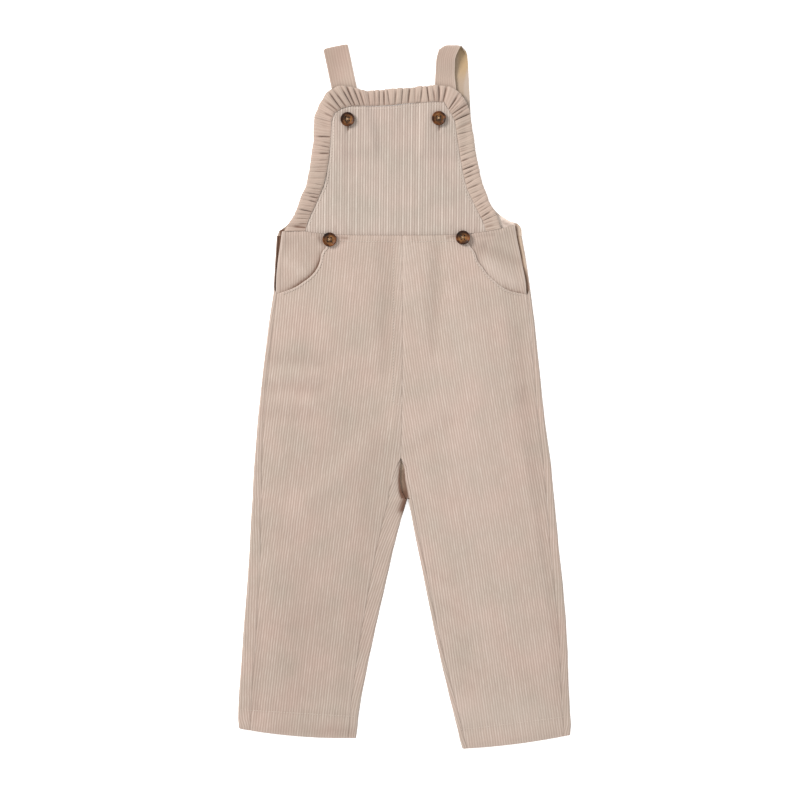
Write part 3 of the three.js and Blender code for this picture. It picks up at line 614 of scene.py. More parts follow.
def welded(grids, step, wall, depth):
    """The corners of all grids, each once, and the faces of the right side."""
    corners = []
    quads = []
    count = 0
    for rows in grids:
        grid = grid_of(rows, step, wall, depth)
        ids = np.arange(grid.shape[0] * grid.shape[1]).reshape(grid.shape[:2])
        cells = np.stack([ids[:-1, :-1], ids[:-1, 1:], ids[1:, 1:], ids[1:, :-1]], 2).reshape(-1, 4)
        flat = grid.reshape(ids.size, -1)
        corner = flat[cells]
        edge_a = corner[:, 1, OUTSIDE] - corner[:, 0, OUTSIDE]
        edge_b = corner[:, 2, OUTSIDE] - corner[:, 0, OUTSIDE]
        towards = np.sum(np.cross(edge_a, edge_b) * corner[:, 0, NORMAL])
        corners.append(flat)
        quads.append(count + (cells if towards > 0 else cells[:, ::-1]))
        count += ids.size
    corners = np.concatenate(corners)
    rounded = np.round(corners[:, OUTSIDE], 3)
    _, kept, ids = np.unique(rounded, axis=0, return_index=True, return_inverse=True)
    faces = []
    for cell in ids.reshape(-1)[np.concatenate(quads)].tolist():
        loop = tuple(dict.fromkeys(cell))
        if len(loop) > 2:
            faces.append(loop)
    return corners[kept], faces


def cloth(name, grids, materials, wall=WALL, depth=WALE_DEPTH, step=STEP_ACROSS, hollow=None):
    """A closed wall of cloth over grids of rows, welded where the grids meet."""
    corners, outer = welded(grids, step, wall, depth)
    edges = {(face[k - 1], face[k]) for face in outer for k in range(len(face))}
    rims = sorted(pair for pair in edges if (pair[1], pair[0]) not in edges)
    total = len(corners)
    inner = [tuple(total + k for k in reversed(face)) for face in outer]
    sides = [(b, a, a + total, b + total) for a, b in rims]
    places = in_frame(np.concatenate([corners[:, OUTSIDE], corners[:, INSIDE]]))
    mesh = bpy.data.meshes.new(name)
    mesh.from_pydata(places.tolist(), [], outer + inner + sides)
    tones = np.concatenate([corners[:, TONE], corners[:, TONE]])
    if hollow is not None:
        tones[total:] = hollow(*corners[:, INSIDE].T[:2])
    loops = np.zeros(len(mesh.loops), int)
    mesh.loops.foreach_get("vertex_index", loops)
    flat_map = mesh.uv_layers.new(name="cloth")
    flat_map.data.foreach_set("uv", (corners[loops % total, FLAT] / FLAT_UNIT).reshape(-1))
    tone_map = mesh.uv_layers.new(name="tone")
    tone_map.data.foreach_set("uv", tones[loops].reshape(-1))
    for material in materials:
        mesh.materials.append(material)
    slots = [0] * len(outer) + [1] * len(inner) + [0] * len(sides)
    mesh.polygons.foreach_set("material_index", slots)
    return finished(name, mesh)


def in_frame(places):
    """Places in metres in the frame that the part is in."""
    return (places + SHIFT) / 1000


def added(name, data):
    made = bpy.data.objects.new(name, data)
    bpy.context.scene.collection.objects.link(made)
    return made


def select_only(piece):
    bpy.ops.object.select_all(action="DESELECT")
    piece.select_set(True)
    bpy.context.view_layer.objects.active = piece


def finished(name, mesh, angle=60):
    """The mesh as an object of the overalls, smooth where it is round."""
    piece = added(name, mesh)
    select_only(piece)
    bpy.ops.object.shade_smooth_by_angle(angle=math.radians(angle))
    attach(piece, "root")
    return piece


# Materials
class Value:
    """A shader socket that sums can be written with."""

    def __init__(self, finish, socket):
        self.finish = finish
        self.socket = socket

    def sum(self, operation, *others):
        inputs = dict(enumerate((self,) + others))
        return self.finish.node("ShaderNodeMath", {"operation": operation}, inputs)

    def __add__(self, other):
        return self.sum("ADD", other)

    def __sub__(self, other):
        return self.sum("SUBTRACT", other)

    def __mul__(self, other):
        return self.sum("MULTIPLY", other)

    def __truediv__(self, other):
        return self.sum("DIVIDE", other)


class Finish:
    """A material and the nodes that it is made of."""

    def __init__(self, name, roughness, **constants):
        self.material = bpy.data.materials.new(name)
        self.material.use_nodes = True
        self.tree = self.material.node_tree
        self.surface = self.tree.nodes["Principled BSDF"]
        self.surface.inputs["Roughness"].default_value = roughness
        for key, value in constants.items():
            self.surface.inputs[key.replace("_", " ")].default_value = value

    def feed(self, socket, value):
        if isinstance(value, Value):
            self.tree.links.new(value.socket, socket)
        else:
            socket.default_value = value

    def node(self, kind, settings=None, inputs=None, output=0):
        made = self.tree.nodes.new(kind)
        for key, value in (settings or {}).items():
            if key == "stops":
                ramp = made.color_ramp.elements
                for k, (place, colour) in enumerate(value):
                    stop = ramp[k] if k < 2 else ramp.new(place)
                    stop.position = place
                    stop.color = (*colour, 1)
            else:
                setattr(made, key, value)
        for key, value in (inputs or {}).items():
            self.feed(made.inputs[key], value)
        if isinstance(output, tuple):
            return [Value(self, made.outputs[k]) for k in output]
        return Value(self, made.outputs[output])

    def place(self):
        """Where a point is on its object, in metres."""
        return self.node("ShaderNodeTexCoord", output=3)

    def from_map(self, name):
        """The two values that a UV map holds."""
        vector = self.node("ShaderNodeUVMap", {"uv_map": name})
        return self.node("ShaderNodeSeparateXYZ", {}, {0: vector}, (0, 1))

    def blend(self, a, b, factor, how="MIX"):
        settings = {"data_type": "RGBA", "blend_type": how}
        return self.node("ShaderNodeMix", settings, {6: a, 7: b, 0: factor}, 2)

    def noise(self, where, scale, detail):
        inputs = {"Vector": where, "Scale": scale, "Detail": detail}
        return self.node("ShaderNodeTexNoise", {}, inputs)

    def show(self, colour, height=None, strength=0.5, depth=0.0005):
        self.feed(self.surface.inputs["Base Color"], colour)
        if height is not None:
            inputs = {"Height": height, "Strength": strength, "Distance": depth}
            self.feed(self.surface.inputs["Normal"], self.node("ShaderNodeBump", {}, inputs))
        return self.material


def rgb(red, green, blue):
    """A colour as it is seen, for a socket."""
    return tuple((value / 255) ** 2.2 for value in (red, green, blue)) + (1,)


# The dark brown that painted shade in hollows, creases, seams and gaps is mixed towards.
PAINTED_SHADE_BROWN = rgb(72, 42, 22)
PATCHES = [(0.32, (0.94, 0.965, 0.95)), (0.68, (1.04, 1.0, 0.995))]


def corduroy(name, shades, stripes, wander, uneven):
    """Fine wales along the cloth, some of them paler, on cloth with faint pink and green patches."""
    groove, crest, pale = (rgb(*shade) for shade in shades)
    made = Finish(name, 0.95, Sheen_Weight=0.2, Sheen_Roughness=0.5)
    across, along = made.from_map("cloth")
    dark, wear_and_highlight = made.from_map("tone")
    drift = made.noise(made.node("ShaderNodeUVMap", {"uv_map": "cloth"}), 9.0, 2)
    wale = across * (FLAT_UNIT / WALE_PITCH) + (drift - 0.5) * wander
    ridge = (wale * (2 * math.pi)).sum("COSINE") * 0.5 + 0.5
    number = (wale + 0.5).sum("FLOOR")
    line = made.node("ShaderNodeCombineXYZ", {}, {0: number * 3.7, 1: along * 9.0})
    worn = made.noise(line, 1.0, 3)
    third = (number / 3.0).sum("FRACT").sum("LESS_THAN", 0.2)
    chance = made.node("ShaderNodeTexWhiteNoise", {"noise_dimensions": "1D"}, {"W": number})
    strong = third * stripes + chance * 0.35 + (worn - 0.5) * uneven
    strong = strong.sum("MAXIMUM", 0.0).sum("MINIMUM", 1.0)
    colour = made.blend(made.blend(groove, crest, ridge), pale, strong * ridge * ridge)
    place = made.place()
    tint = made.node("ShaderNodeValToRGB", {"stops": PATCHES}, {0: made.noise(place, 24.0, 3)})
    colour = made.blend(colour, tint, 1.0, "MULTIPLY")
    # Painted highlight, partly wear: paler towards the palest shade on edges and ridges.
    colour = made.blend(colour, pale, wear_and_highlight * 0.8)
    # Painted shade: darker towards the brown in hollows, creases, seams and gaps.
    colour = made.blend(colour, PAINTED_SHADE_BROWN, dark)
    fibre = made.noise(place, 1500.0, 2)
    return made.show(colour, fibre * 0.7 + ridge * 0.3, 0.4, 0.0004)


def twill(name, *shades):
    """The wrong side of the cloth, with a fine slanting weave."""
    shade, light, worn = (rgb(*value) for value in shades)
    made = Finish(name, 0.9, Sheen_Weight=0.1)
    place = made.place()
    dark, wear_and_highlight = made.from_map("tone")
    inputs = {"Vector": place, "Scale": 420.0}
    threads = made.node("ShaderNodeTexWave", {"bands_direction": "DIAGONAL"}, inputs)
    colour = made.blend(shade, light, threads * 0.4 + made.noise(place, 30.0, 3) * 0.6)
    # Paler towards the third shade: painted light where a strap's loop lies open, and on the back bib's
    # inside, whose pale cream is partly its own colour.
    colour = made.blend(colour, worn, wear_and_highlight)
    # Painted shade: darker towards the brown in gaps and hollows.
    colour = made.blend(colour, PAINTED_SHADE_BROWN, dark)
    return made.show(colour, threads, 0.3, 0.0003)


def thread(name, *shades):
    """Twisted thread of two shades."""
    shade, light = (rgb(*value) for value in shades)
    made = Finish(name, 0.7, Sheen_Weight=0.2)
    place = made.place()
    colour = made.blend(shade, light, made.noise(place, 400.0, 2))
    return made.show(colour, made.noise(place, 2500.0, 1), 0.3, 0.0002)


def tortoiseshell(name, *shades):
    """Brown shell with clouds of three shades, only a little glossy."""
    made = Finish(name, 0.5, Coat_Weight=0.01, Coat_Roughness=0.3, Specular_IOR_Level=0.12)
    place = made.place()
    clouds = made.noise(place, 150.0, 3)
    stops = [(at, rgb(*shade)[:3]) for at, shade in zip((0.38, 0.52, 0.7), shades)]
    colour = made.node("ShaderNodeValToRGB", {"stops": stops}, {0: clouds})
    return made.show(colour, clouds, 0.1, 0.0002)


# Shades of each corduroy: between the wales, on them, and on the palest of them
LEG_SHADES = [(132, 117, 107), (147, 132, 122), (162, 149, 140)]
BIB_SHADES = [(127, 114, 105), (144, 131, 122), (168, 157, 148)]
WORN_SHADES = [(139, 122, 111), (145, 129, 118), (152, 137, 126)]
FACE = corduroy("corduroy", LEG_SHADES, 0.08, 0.45, 1.8)
BIB_FACE = corduroy("corduroy_of_the_bib", BIB_SHADES, 0.4, 0.15, 1.0)
SMOOTH_FACE = corduroy("corduroy_worn_smooth", WORN_SHADES, 0, 0.5, 1.0)
LINING = twill("corduroy_inside", (148, 130, 112), (166, 148, 130), (186, 171, 160))
# The strap's inside is the same cloth as the lining: its darker, yellower shades are painted shade inside
# the strap's fold, and its third shade is painted light.
SHADED_STRAP_LINING = twill("strap_inside_in_painted_shade", (134, 112, 84), (149, 127, 97), (141, 127, 115))
THREAD = thread("cream_thread", (146, 131, 120), (164, 152, 141))
BUTTON_THREAD = thread("button_thread", (96, 72, 46), (142, 112, 76))
SHELL = tortoiseshell("tortoiseshell", (26, 14, 8), (48, 27, 14), (98, 58, 28))
SHELL_DISH = tortoiseshell("tortoiseshell_dish", (38, 25, 14), (72, 47, 27), (114, 78, 46))


def leg_rows(side, first, last=None, step=ROW_STEP):
    """A leg's sections from one row of its table to another, with straight ones between."""
    rows = LEGS[side][first : last + 1 if last else None]
    return refined(rows, step, (1,), smooth=False)


def section_width(row):
    return math.hypot(row[IN_X] - row[OUT_X], row[IN_Y] - row[OUT_Y])


def above_hem(side, row):
    return row[OUT_Y] - LEGS[side][-1][OUT_Y]


def on_section(side, row, distance):
    """Places on a leg's section line, and the line's direction."""
    start = np.array([row[OUT_X], row[OUT_Y]])
    line = np.array([row[IN_X], row[IN_Y]]) - start
    width = np.hypot(*line)
    line = line / width
    near_hem = np.clip(1 - above_hem(side, row) / HEM_DEPTH, 0, 1)
    u = np.clip(distance / width, 0, 1)
    x = start[0] + line[0] * distance
    y = start[1] + line[1] * distance + HEM_BOW[side] * near_hem * 4 * u * (1 - u)
    return x, y, line


def hem_dip(side, row, x):
    """The line of stitches round the hem pulls the cloth in, and the edge is rounded."""
    above = above_hem(side, row)
    pull = 0.45 * bump(above - HEM_DEPTH, 1.8) + 0.9 * bump(above, 1.2)
    pucker = 0.22 * ripple(x, 0.7, 8.5) * bump(above - HEM_DEPTH, 7.0)
    return pull + pucker


def seam_dip(distance, along, seed, depth=0.25):
    """A seam lies in a narrow groove, with short uneven puckers beside it."""
    return depth * bump(distance, 1.4) + 0.22 * ripple(along, seed, 10.5) * bump(distance, 6.0)


def up_to_waist(x, y, top, below_top):
    """Places near the waist seam, moved up to it from the straight top of their table."""
    pulled = max(0, 1 - below_top / WAIST_PULL)
    return y + (waist_y(x) - SEAM_GAP / 2 - top) * pulled


def leg_front(side):
    """The front of a leg: down along the pocket's edge first, then across the whole width."""
    pocket = refined(POCKET_EDGE[side], POCKET_STEP)
    rows = []
    top_y = pocket[0][1]
    for x0, y0 in pocket:
        in_x = float(by_height(LEGS[side], OUT_Y, IN_X, y0))
        x = mix(x0, in_x, np.linspace(0, 1, PLACES["leg"]) ** 1.3)
        y = up_to_waist(x, y0, top_y, top_y - y0)
        below = waist_y(x) - y
        seam = np.abs(x - in_x)
        rim = np.abs(x - x0)
        dip = seam_dip(seam, y, 0.3) + seam_dip(below, x, 1.1, SEAM_DIP)
        lift = 0.2 * soften(1 - rim / 9) - 0.6 * bump(rim, 0.9) - 0.2 * bump(rim - 3.4, 0.9)
        # Painted shade in the grooves of the waist seam and the middle seam, and painted highlight with
        # some wear on the pocket's rim and beside the middle seam.
        dark = 0.1 * bump(below, 0.9) + 0.1 * bump(seam, 0.7)
        wear_and_highlight = 0.5 * bump(rim - 1.2, 0.9) + 0.25 * bump(seam - 1.6, 0.8)
        rows.append((x, y, dip - lift, dark, wear_and_highlight))
    for row in leg_rows(side, CLOSED_ROW):
        start = row[WRAP_OUT] + SEAM_GAP / 2
        end = section_width(row) - row[WRAP_IN] - SEAM_GAP / 2
        distance = np.linspace(start, end, PLACES["leg"])
        x, y, _ = on_section(side, row, distance)
        outer, inner = distance - start, end - distance
        dip = seam_dip(outer, y, 2.0, 0.15) + seam_dip(inner, y, 0.3, 0.12)
        dip = dip + hem_dip(side, row, x)
        above = above_hem(side, row)
        # Painted shade along both seams and in the hem's stitched groove, and painted highlight with some
        # wear beside the inner seam and on the hem's edge.
        dark = 0.04 * bump(outer, 0.7) + 0.04 * bump(inner, 0.7)
        dark = dark + 0.12 * float(bump(above - HEM_DEPTH, 1.0))
        wear_and_highlight = 0.2 * bump(inner - 1.6, 0.8) + 0.15 * float(bump(above, 1.5))
        rows.append((x, y, dip, dark, wear_and_highlight))
    made = []
    for x, y, dip, dark, wear_and_highlight in rows:
        darker, paler = painted_light_and_shade(side, x, y)
        z = draped(side, x, y) - dip
        made.append(laid_row(side, x, y, z, dark + darker, wear_and_highlight + paler))
    return cloth(f"cloth_leg_front_{side}", [made], [FACE, LINING])


UNDER_EASE = 14
TONGUE_STEP = 1.5
LAST_ABOVE_FORK = 0.94
INSEAM_LEAN = {"left": 0.28, "right": -0.19}

# Soft creases of the underside, in the same columns as the front's.
UNDER_FOLDS = [
    (-100, 120, -60, 60, 9, 0.9),
    (-30, 60, -20, -60, 8, 0.8),
    (-120, 0, -60, -30, 9, 0.8),
    (-110, -150, -60, -90, 12, 0.9),
    (-120, -250, -80, -230, 10, 0.7),
    (95, 110, 70, 40, 9, 0.9),
    (35, 50, 20, -50, 8, 0.8),
    (110, -20, 60, -60, 9, 0.8),
    (120, -170, 70, -120, 12, 0.9),
    (130, -270, 90, -250, 10, 0.7),
]


def under_height(x, y):
    """The underside rests on the table and lifts off it along soft creases."""
    lifted = 0.12 * (1 + ripple(x + 0.3 * y, 0.9, 60)) * (1 + ripple(y, 1.9, 90)) / 2
    return lifted + along_lines(UNDER_FOLDS, x, y)


def wrapped(side, row, d, seam, seed, shade):
    """The run of a back that lies on the front, beside its seam there, with painted shade along the seam.
    """
    x, y, _ = on_section(side, row, d)
    z = draped(side, x, y) - seam_dip(d - seam, y, seed) - hem_dip(side, row, x) * 0.6
    return d, z, 0 * d, 0 * d + 1, shade * bump(d - seam, 0.7)


def folded(start, way, degrees):
    """The run of a back round a folded edge, where way says to which side it bulges."""
    angle = np.radians(np.linspace(*degrees, ARC_PLACES))
    d = start - way * FOLD_RADIUS * (1 - np.sin(angle))
    return d, FOLD_RADIUS * (1 - np.cos(angle)), way * np.sin(angle), -np.cos(angle), 0 * d


def back_section(side, row, flat_end, inner):
    """A row round the section of a leg's back, from the outer wrap to the inner one."""
    width = section_width(row)
    runs = []
    if row[CURL] >= 180:
        start = max(row[WRAP_OUT] - SEAM_GAP / 2, FOLD_RADIUS + 0.01)
        d = np.linspace(start, FOLD_RADIUS, OUTER_WRAP_PLACES)
        runs.append(wrapped(side, row, d, start, 2.0, 0.05))
    runs.append(folded(0, -1, (row[CURL], 0)))
    d = np.linspace(FOLD_RADIUS, flat_end, PLACES["under"])
    x, y, _ = on_section(side, row, d)
    inside = soften((d - FOLD_RADIUS) / UNDER_EASE) * soften((flat_end - d) / UNDER_EASE)
    seam = 0.0 if inner else 0.5 * bump(flat_end - d, 1.6)
    runs.append((d, under_height(x, y) * inside + seam, 0 * d, 0 * d - 1, 0 * d))
    if inner:
        runs.append(folded(width, 1, (0, 180)))
        end = width - row[WRAP_IN] + SEAM_GAP / 2
        d = np.linspace(width - FOLD_RADIUS, end, INNER_WRAP_PLACES)
        runs.append(wrapped(side, row, d, end, 0.3, 0.1))
    d, z, across, up, dark = (np.concatenate([run[k] for run in runs]) for k in range(5))
    x, y, line = on_section(side, row, d)
    gone = np.concatenate([[0], np.cumsum(np.hypot(np.diff(d), np.diff(z)))])
    zero = np.argmin(np.abs(d - FOLD_RADIUS) + np.abs(z))
    u = x[zero] - lean_to(side, y[zero]) + TURN[side] * (gone - gone[zero])
    u = u + 1e-6 * TURN[side] * np.arange(len(u))
    point = np.stack([x, y, z], 1)
    normal = np.stack([across * line[0], across * line[1], up], 1)
    darker, paler = painted_light_and_shade_round(side, point, normal)
    return u, y, point, normal, dark + darker, paler


# The right side piece ends short of its table's outer edge, so that the back bib's edge shows.
HIP_SHORT = 1.5


def back_hollow(x, y):
    """Painted shade on the inside of the backs: in the gaps behind the plackets and in the hollow at the
    fork.
    """
    edge = by_height(HIPS["right"], 1, 0, y) - HIP_SHORT
    rim = soften((x - edge - 1.3) / 1.4) * soften((y - 118) / 12)
    gap = soften((np.abs(x + 5) - 100) / 12) * soften((y - 92) / 12) * (1.25 - rim)
    depth = 0.3 * soften((-62 - y) / 5) + 0.45 * soften((-72 - y) / 5)
    depth = depth + 0.2 * soften((-90 - y) / 8)
    fork = bump(x - 0.5, 9) * soften((y + 112) / 6) * depth
    return np.column_stack([np.clip(gap * np.where(x > 0, 0.6, 0.75) + fork, 0, 0.95), 0 * x])


def on_step(u):
    """The column of a leg's grid that is nearest to a place across the cloth."""
    return round(u / STEP_ACROSS) * STEP_ACROSS


def leg_back(side):
    """The back of a leg: above the fork, below it, and the tongue turned onto the front there."""
    upper = []
    fall = CENTRE_BACK["waist_y"] - CENTRE_BACK["fork_y"]
    above = leg_rows(side, 0, FORK_ROW)
    for row in [*above[:-1], mix(above[-2], above[-1], LAST_ABOVE_FORK)]:
        down = (CENTRE_BACK["waist_y"] - row[OUT_Y]) / fall
        seam_x = mix(CENTRE_BACK["waist_x"], CENTRE_BACK["fork_x"], min(1, max(0, down)) ** 2)
        seam = abs(seam_x - TURN[side] * SEAM_GAP / 2 - row[OUT_X])
        upper.append(cloth_row(*back_section(side, row, seam, False)))
    lower = []
    for row in leg_rows(side, FORK_ROW):
        section = back_section(side, row, section_width(row) - FOLD_RADIUS, True)
        lower.append(cloth_row(*section))
        if len(lower) == 1:
            u, _, point = section[:3]
            fork = (row[IN_Y], float(lean_to(side, row[IN_Y])))
    flat_end = on_step(u[-INNER_WRAP_PLACES - ARC_PLACES - 1])
    top_start = u[-INNER_WRAP_PLACES]
    wrap_sum = top_start + point[-INNER_WRAP_PLACES, 0]
    top_start = on_step(top_start)
    left, right = lower[0][0][0], lower[0][0][-1]
    upper.append(part_of(lower[0], *((left, flat_end) if side == "left" else (flat_end, right))))
    tongue = []
    for row in leg_rows(side, TONGUE_ROW - 1, FORK_ROW, TONGUE_STEP)[1:-1]:
        width = section_width(row)
        end = width - row[WRAP_IN] + SEAM_GAP / 2
        d = np.linspace(width - SEAM_GAP, end, INNER_WRAP_PLACES)
        x, y, _ = on_section(side, row, d)
        inward = (d - end) / (d[0] - end)
        sunk = GROOVE_DEPTH * soften(inward) + seam_dip(d - end, y, 0.3)
        z = draped(side, x, y) - sunk
        gone = 2 * INSEAM_LEAN[side] * (row[IN_Y] - fork[0])
        u = wrap_sum + gone - (lean_to(side, row[IN_Y]) - fork[1]) - x
        darker, paler = painted_light_and_shade(side, x, y)
        # Painted shade where the tongue goes down into the recess at the fork, and along its seam.
        recess = 0.9 * soften((inward - 0.66) / 0.2) * soften((-66 - y) / 8)
        dark = darker + 0.1 * bump(d - end, 0.7) + recess
        tongue.append(cloth_row(u, y, *level(x, y, z), np.minimum(dark, 0.95), paler))
    tongue.append(part_of(lower[0], *((top_start, right) if side == "left" else (left, top_start))))
    name = f"cloth_leg_back_{side}"
    return cloth(name, [upper, lower, tongue], [FACE, LINING], hollow=back_hollow)


# Loose folds of the side pieces, and patches of painted shade in the pockets' openings, in the same
# columns.
HIP_CREASES = [
    (82, 147, 116, 132, 5, -1.4),
    (80, 131, 108, 112, 8, 1.1),
    (102, 107, 120, 102, 4, -0.7),
    (70, 158, 90, 160, 1.5, -0.8),
    (-83, 158, -92, 160.5, 1.5, -0.8),
    (-112, 150, -88, 138, 6, -0.6),
    (-118, 132, -96, 118, 6, 0.5),
]
HIP_SHADE = [(-85, 157, -82, 152, 2, 0.3), (73, 148, 77, 128, 5, 0.12)]
LEFT_POCKET_SHADE = [(-86, 127, -104, 111, 13, 1)]
RIGHT_POCKET_SHADE = [(103, 104, 124, 99, 5, 0.4)]
# Painted shade over each whole side piece, more on the left.
HIP_TONE = {"left": 0.09, "right": 0.03}


def hip(side):
    """The side piece behind a pocket's edge, with its own loose folds in the opening."""
    made = []
    table = refined(HIPS[side], 2.5, (1,))
    pocket = refined(POCKET_EDGE[side], POCKET_STEP)
    for out_x, out_y, in_x, in_y in table:
        if side == "right":
            out_x -= HIP_SHORT
        t = np.linspace(0, 1, PLACES["hip"])
        x = mix(out_x, in_x, t)
        y = mix(out_y, in_y, t)
        y = up_to_waist(x, y, mix(table[0][1], table[0][3], t), table[0][1] - out_y)
        below = waist_y(x) - y
        away = np.min(np.hypot(x[:, None] - pocket[:, 0], y[:, None] - pocket[:, 1]), axis=1)
        rim = np.abs(x - out_x)
        raised = soften(1 - below / WAIST_PULL) * soften((away - 4) / 8)
        z = front_top(side, x, y) - (WALL + 0.2) * (1 - raised) - 0.2 * bump(away, 3)
        crease = along_lines(HIP_CREASES, x, y)
        z = z + crease * soften(away / 9)
        z = z + 0.5 * bump(rim - 2.5, 2.2) - seam_dip(below, x, 1.1, SEAM_DIP)
        # Painted shade near the pocket's edge, at the waist seam, in the openings and in troughs; painted
        # highlight with some wear on the outer rim and on ridges.
        dark = HIP_TONE[side] + 0.12 * bump(away, 1.3) + 0.04 * bump(away, 4.0)
        dark = dark + along_lines(HIP_SHADE, x, y) + 0.06 * bump(below, 0.9)
        left_shade = 0.75 * bump(away, 1.9) + 0.25 * bump(away, 5.0)
        dark = dark + left_shade * along_lines(LEFT_POCKET_SHADE, x, y)
        dark = dark + bump(away, 1.5) * along_lines(RIGHT_POCKET_SHADE, x, y)
        dark = np.clip(dark - 0.09 * crease, 0, 0.85)
        wear_and_highlight = 0.6 * bump(rim - 0.5, 1.0) + np.maximum(0.27 * crease, 0)
        made.append(laid_row(f"hip_{side}", x, y, z, dark, wear_and_highlight))
    return cloth(f"cloth_hip_{side}", [made], [FACE, LINING])


# Soft folds of the bib, the painted shade of its tucks over the waist seam, and patches painted paler.
BIB_TROUGHS = [
    (-56, 268, -52, 225, 7, -0.6),
    (34, 268, 44, 215, 8, -0.7),
    (-78, 215, -40, 185, 10, -0.5),
    (58, 200, 20, 182, 10, -0.5),
]
BIB_RIDGES = [(20, 262, -10, 240, 9, 0.5), (-30, 232, 10, 218, 12, 0.4)]
BIB_TUCKS = [(at, 162, at * 1.02, 168, 1.2, 0.12) for at in (-68, -56, 46, 70)]
BIB_PALER = [(-34, 284, -36, 256, 5, 0.12), (56, 245, 66, 205, 8, 0.12)]
BIB_ENDS = (164.0, 290.5)


def bib_line(x):
    """Height of the bib's top edge, which rises to the right."""
    return BIB_TOP["left"] + BIB_TOP["rise"] * soften((x - BIB_TOP["start"]) / BIB_TOP["over"])


def bib_front():
    """The bib, sunk at its seams and drawn into a short slit under each of its buttons."""
    made = []
    low, high = BIB_ENDS
    for t in np.linspace(0, 1, 56) ** 0.9:
        y0 = mix(low, high, t)
        capped = max(0, 1 - (high - y0) / 12)
        left = float(by_height(BIB, 1, 0, y0 + (BIB_TOP["left"] - high) * capped))
        rise = BIB_TOP["left"] + BIB_TOP["rise"] - high
        right = float(by_height(BIB, 3, 2, y0 + rise * capped))
        x = np.linspace(left, right, PLACES["bib"])
        bottom = waist_y(x) + SEAM_GAP / 2
        top = bib_line(x)
        y = y0 + (bottom - low) * max(0, 1 - (y0 - low) / 20)
        y = y + (top - high) * capped
        rim = np.minimum(np.minimum(x - left, right - x), top - y)
        above = y - bottom
        z = bib_top(x, y) + 0.5 * undulation(x, y) + along_lines(BIB_TROUGHS + BIB_RIDGES, x, y)
        z = z - 0.2 * bump(rim, 1.0) - 0.15 * bump(rim - 2.6, 0.8)
        z = z - seam_dip(above, x, 1.1, SEAM_DIP)
        # Painted shade at the waist seam, along the edges, in the tucks and the troughs, and darker
        # towards the top.
        dark = 0.12 * bump(above, 0.9) + 0.06 * bump(rim, 0.8) + 0.045 * soften((y - 215) / 50)
        dark = dark + along_lines(BIB_TUCKS, x, y) - 0.06 * along_lines(BIB_TROUGHS, x, y)
        for name in ("button_bib_left", "button_bib_right"):
            bx, by = BUTTONS[name]
            slit = distance_to(x, y, bx + 0.5, by - 6, bx + 0.5, by - 10.5)
            # Painted shade in the slit under the button.
            dark = dark + 0.85 * bump(slit, 0.8)
            z = z - 0.6 * bump(slit, 1.6) + 0.4 * bump(slit - 4, 2.0)
            z = z - 0.35 * bump(distance_to(x, y, bx, by - 10, bx + 2, by - 20), 2.5)
        # Painted highlight with some wear on the rims and above the waist seam, patches painted paler,
        # and painted light beside the buttons against their cast shadow.
        wear_and_highlight = 0.3 * bump(rim - 1.2, 0.8) + 0.25 * bump(above - 1.4, 0.8)
        wear_and_highlight = wear_and_highlight + along_lines(BIB_PALER, x, y) + 0.2 * beside_buttons(x, y, 4)
        made.append(laid_row("bib", x, y, z, np.clip(dark, 0, 0.9), wear_and_highlight))
    return cloth("cloth_bib_front", [made], [BIB_FACE, LINING])


def bib_back_hollow(x, y):
    """The tone of the back bib's inside: pale cream, khaki and darker out at the sides, with painted
    shade and a few dark spots.
    """
    edge = np.array(RUFFLE)[:, 2:4]
    away = np.min(np.hypot(x[:, None] - edge[:, 0], y[:, None] - edge[:, 1]), axis=1)
    spots_and_gap_shade = 0.2 * soften((ripple(x * 1.7 + y, 0.5, 12) - 0.4) / 0.5)
    # Painted shade in the small gap between the ruffle's end and the right side piece.
    spots_and_gap_shade = spots_and_gap_shade + 0.5 * bump(distance_to(x, y, 99, 173.5, 107, 169), 1.8)
    from_hip = x - by_height(HIPS["right"], 1, 0, y) + HIP_SHORT
    # Painted shade in the gaps beside both side pieces.
    gap = 0.75 * bump(from_hip - 1.1, 1.3) * soften((175 - y) / 5)
    left_gap = 0.6 * bump(-x - 122.0, 2.5) + 0.25 * soften((-x - 118) / 2)
    gap = gap + left_gap * soften((172 - y) / 4)
    khaki = soften((np.abs(x) - 110) / 3)
    # Painted shade under the ruffle's edge. The cream is partly the inside's own colour and partly
    # painted light against the shadow it lies in.
    return np.column_stack([0.1 * bump(away, 4) + spots_and_gap_shade + gap + 0.12 * khaki, 1 - 0.75 * khaki])


def bib_back():
    """The back bib, which lies face down."""
    made = []
    for left, y_left, right, y_right in refined(BACK_BIB, ROW_STEP, (1,)):
        t = np.linspace(0, 1, PLACES["bib_back"])
        x = mix(left, right, t)
        y = mix(y_left, y_right, t)
        y = y - 0.6 * soften(161 - y)
        made.append(cloth_row(x, y, *level(x, y, 0.3 * (1 + ripple(x, 1.0, 50)), -1)))
    return cloth("cloth_bib_back", [made], [FACE, LINING], hollow=bib_back_hollow)


def puff_places(puffs):
    """Places along the ruffle in puffs, closest together at the tucks."""
    f = 0.5 - 0.5 * np.cos(np.pi * np.arange(PUFF_STEPS) / PUFF_STEPS)
    return np.concatenate([(k + f) for k in range(puffs)] + [[puffs]])


